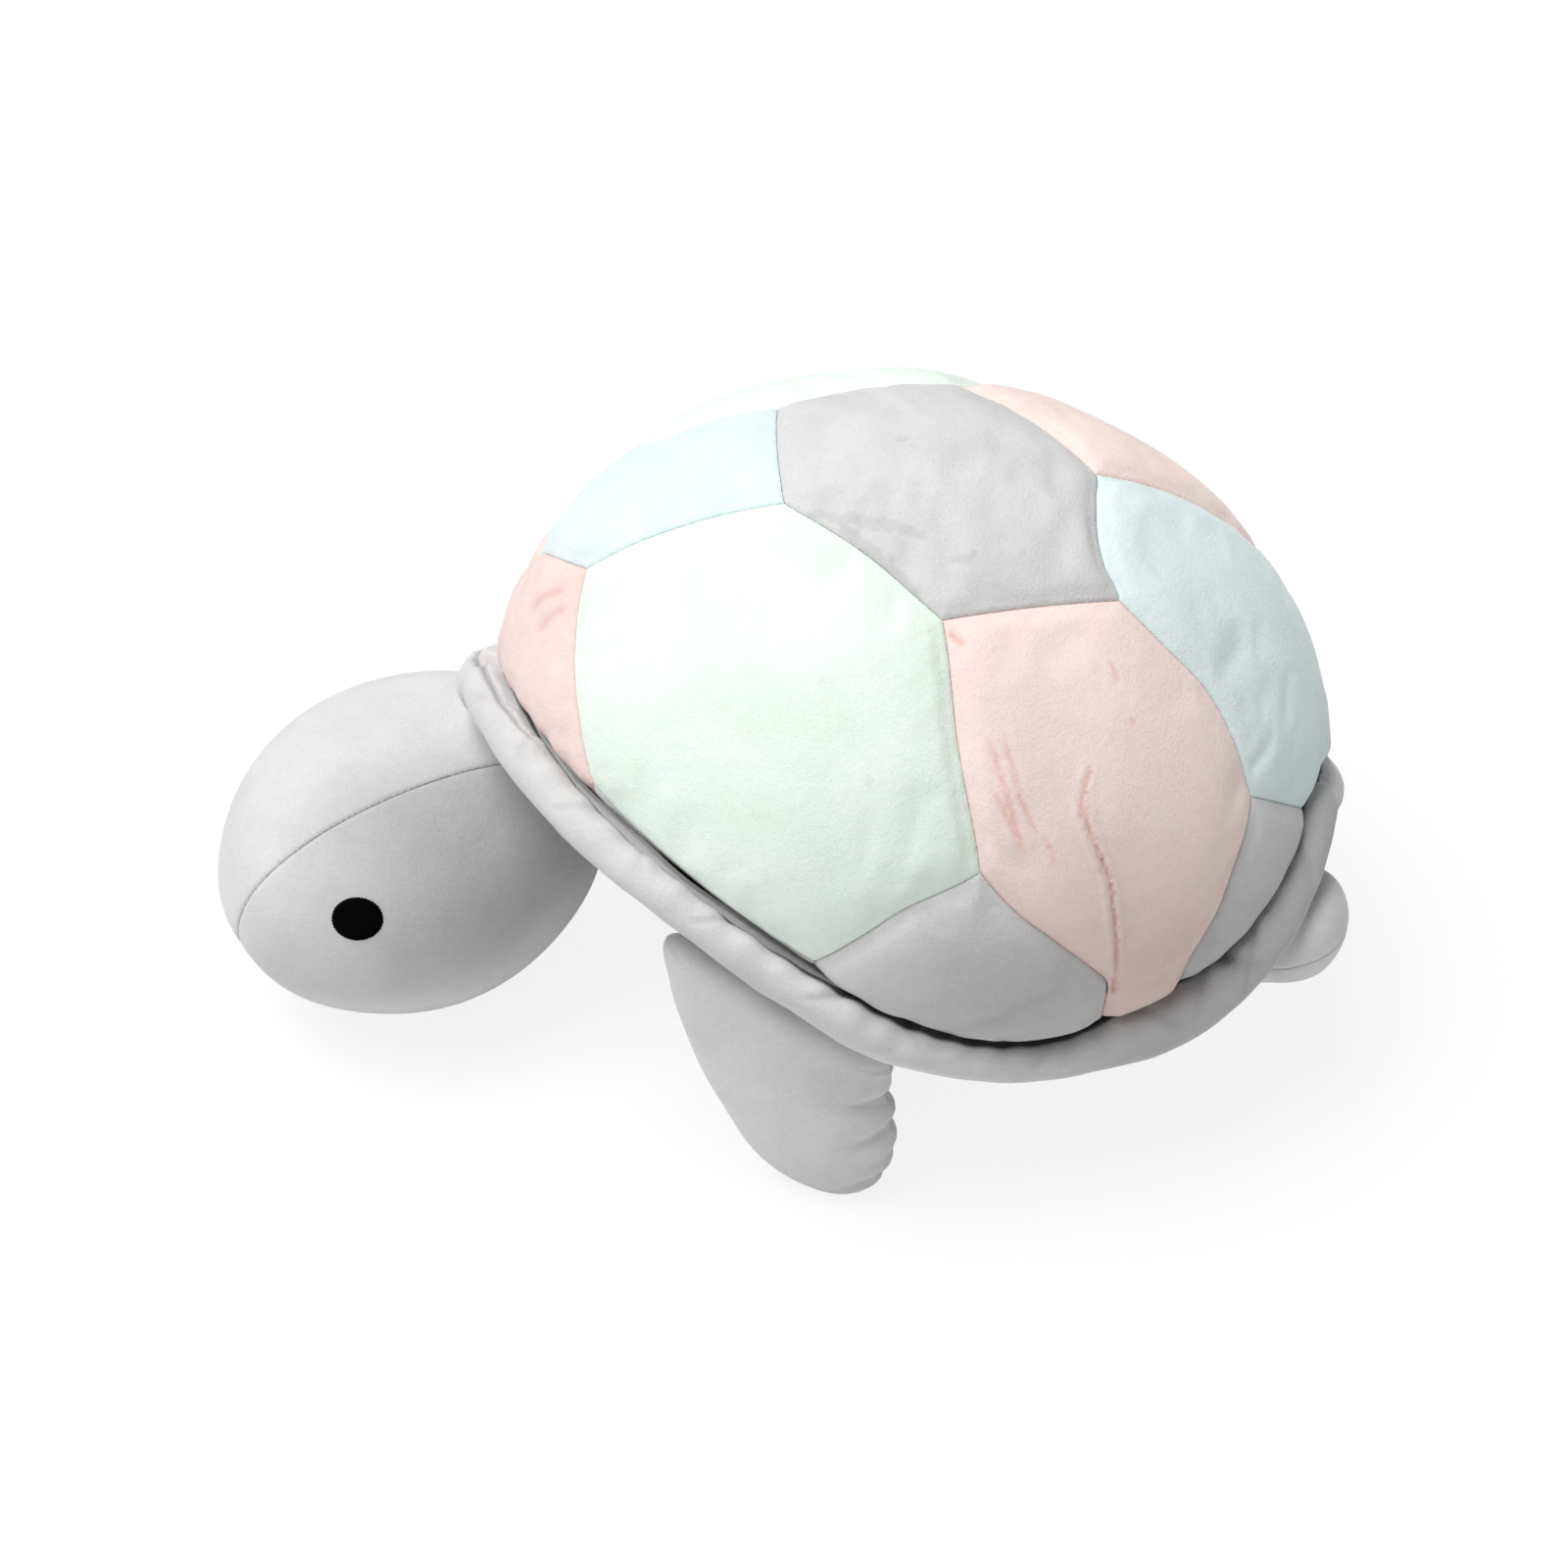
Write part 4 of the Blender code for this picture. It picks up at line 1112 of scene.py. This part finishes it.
def make_floor():
    """A white floor that keeps the toy's shadow; it meets a white world."""
    mesh = bpy.data.meshes.new("floor")
    reach = 6.0
    mesh.from_pydata([(-reach, -reach, 0), (reach, -reach, 0), (reach, reach, 0), (-reach, reach, 0)],
                     [], [(0, 1, 2, 3)])
    floor = bpy.data.objects.new("floor", mesh)
    bpy.context.scene.collection.objects.link(floor)
    material = bpy.data.materials.new("white_floor")
    material.use_nodes = True
    tree = material.node_tree
    shader = tree.nodes["Principled BSDF"]
    shader.inputs["Base Color"].default_value = (0.9, 0.9, 0.9, 1.0)
    shader.inputs["Roughness"].default_value = 1.0
    shader.inputs["Specular IOR Level"].default_value = 0.0
    paper = node(tree, "ShaderNodeEmission")
    paper.inputs["Strength"].default_value = 1.0
    share = number(tree, "MULTIPLY", seen_rays(tree), 0.86)
    tree.links.new(mixed_shader(tree, share, shader.outputs[0], paper.outputs[0]),
                   tree.nodes["Material Output"].inputs["Surface"])
    mesh.materials.append(material)


make_floor()


def add_sun(name, way, spread, strength):
    """Soft light from far off, the same all over the floor."""
    light = bpy.data.lights.new(name, "SUN")
    light.angle = math.radians(spread)
    light.energy = strength
    lamp = bpy.data.objects.new(name, light)
    bpy.context.scene.collection.objects.link(lamp)
    lamp.rotation_euler = Vector(way).to_track_quat("Z", "Y").to_euler()


def background(tree, strength):
    made = node(tree, "ShaderNodeBackground")
    made.inputs["Color"].default_value = (1.0, 1.0, 1.0, 1.0)
    made.inputs["Strength"].default_value = strength
    return made.outputs[0]


world = bpy.context.scene.world or bpy.data.worlds.new("studio")
bpy.context.scene.world = world
world.use_nodes = True
tree = world.node_tree
tree.nodes.clear()
tree.links.new(mixed_shader(tree, seen_rays(tree), background(tree, 0.21), background(tree, 1.0)),
               node(tree, "ShaderNodeOutputWorld").inputs[0])

azimuth, elevation = math.radians(98.29), math.radians(45)
back = Vector((math.sin(azimuth) * math.cos(elevation), -math.cos(azimuth) * math.cos(elevation),
               math.sin(elevation)))
right = Vector((math.cos(azimuth), math.sin(azimuth), 0.0))
up = back.cross(right)
target = Vector(shell_centre)

key_way = (-0.32 * right - 0.02 * back + 0.97 * Vector((0, 0, 1))).normalized()
add_sun("key", key_way, 36, 3.2)
camera_data = bpy.data.cameras.new("camera")
camera_data.sensor_width = 36
camera_data.lens = 70.47
camera_data.shift_x = -0.0805
camera_data.shift_y = -0.0336
camera = bpy.data.objects.new("camera", camera_data)
bpy.context.scene.collection.objects.link(camera)
camera.matrix_world = Matrix((
    (right.x, up.x, back.x, 0), (right.y, up.y, back.y, 0), (right.z, up.z, back.z, 0), (0, 0, 0, 1)))
camera.location = target + back * 1.1
bpy.context.scene.camera = camera
bpy.context.scene.view_settings.view_transform = "Standard"
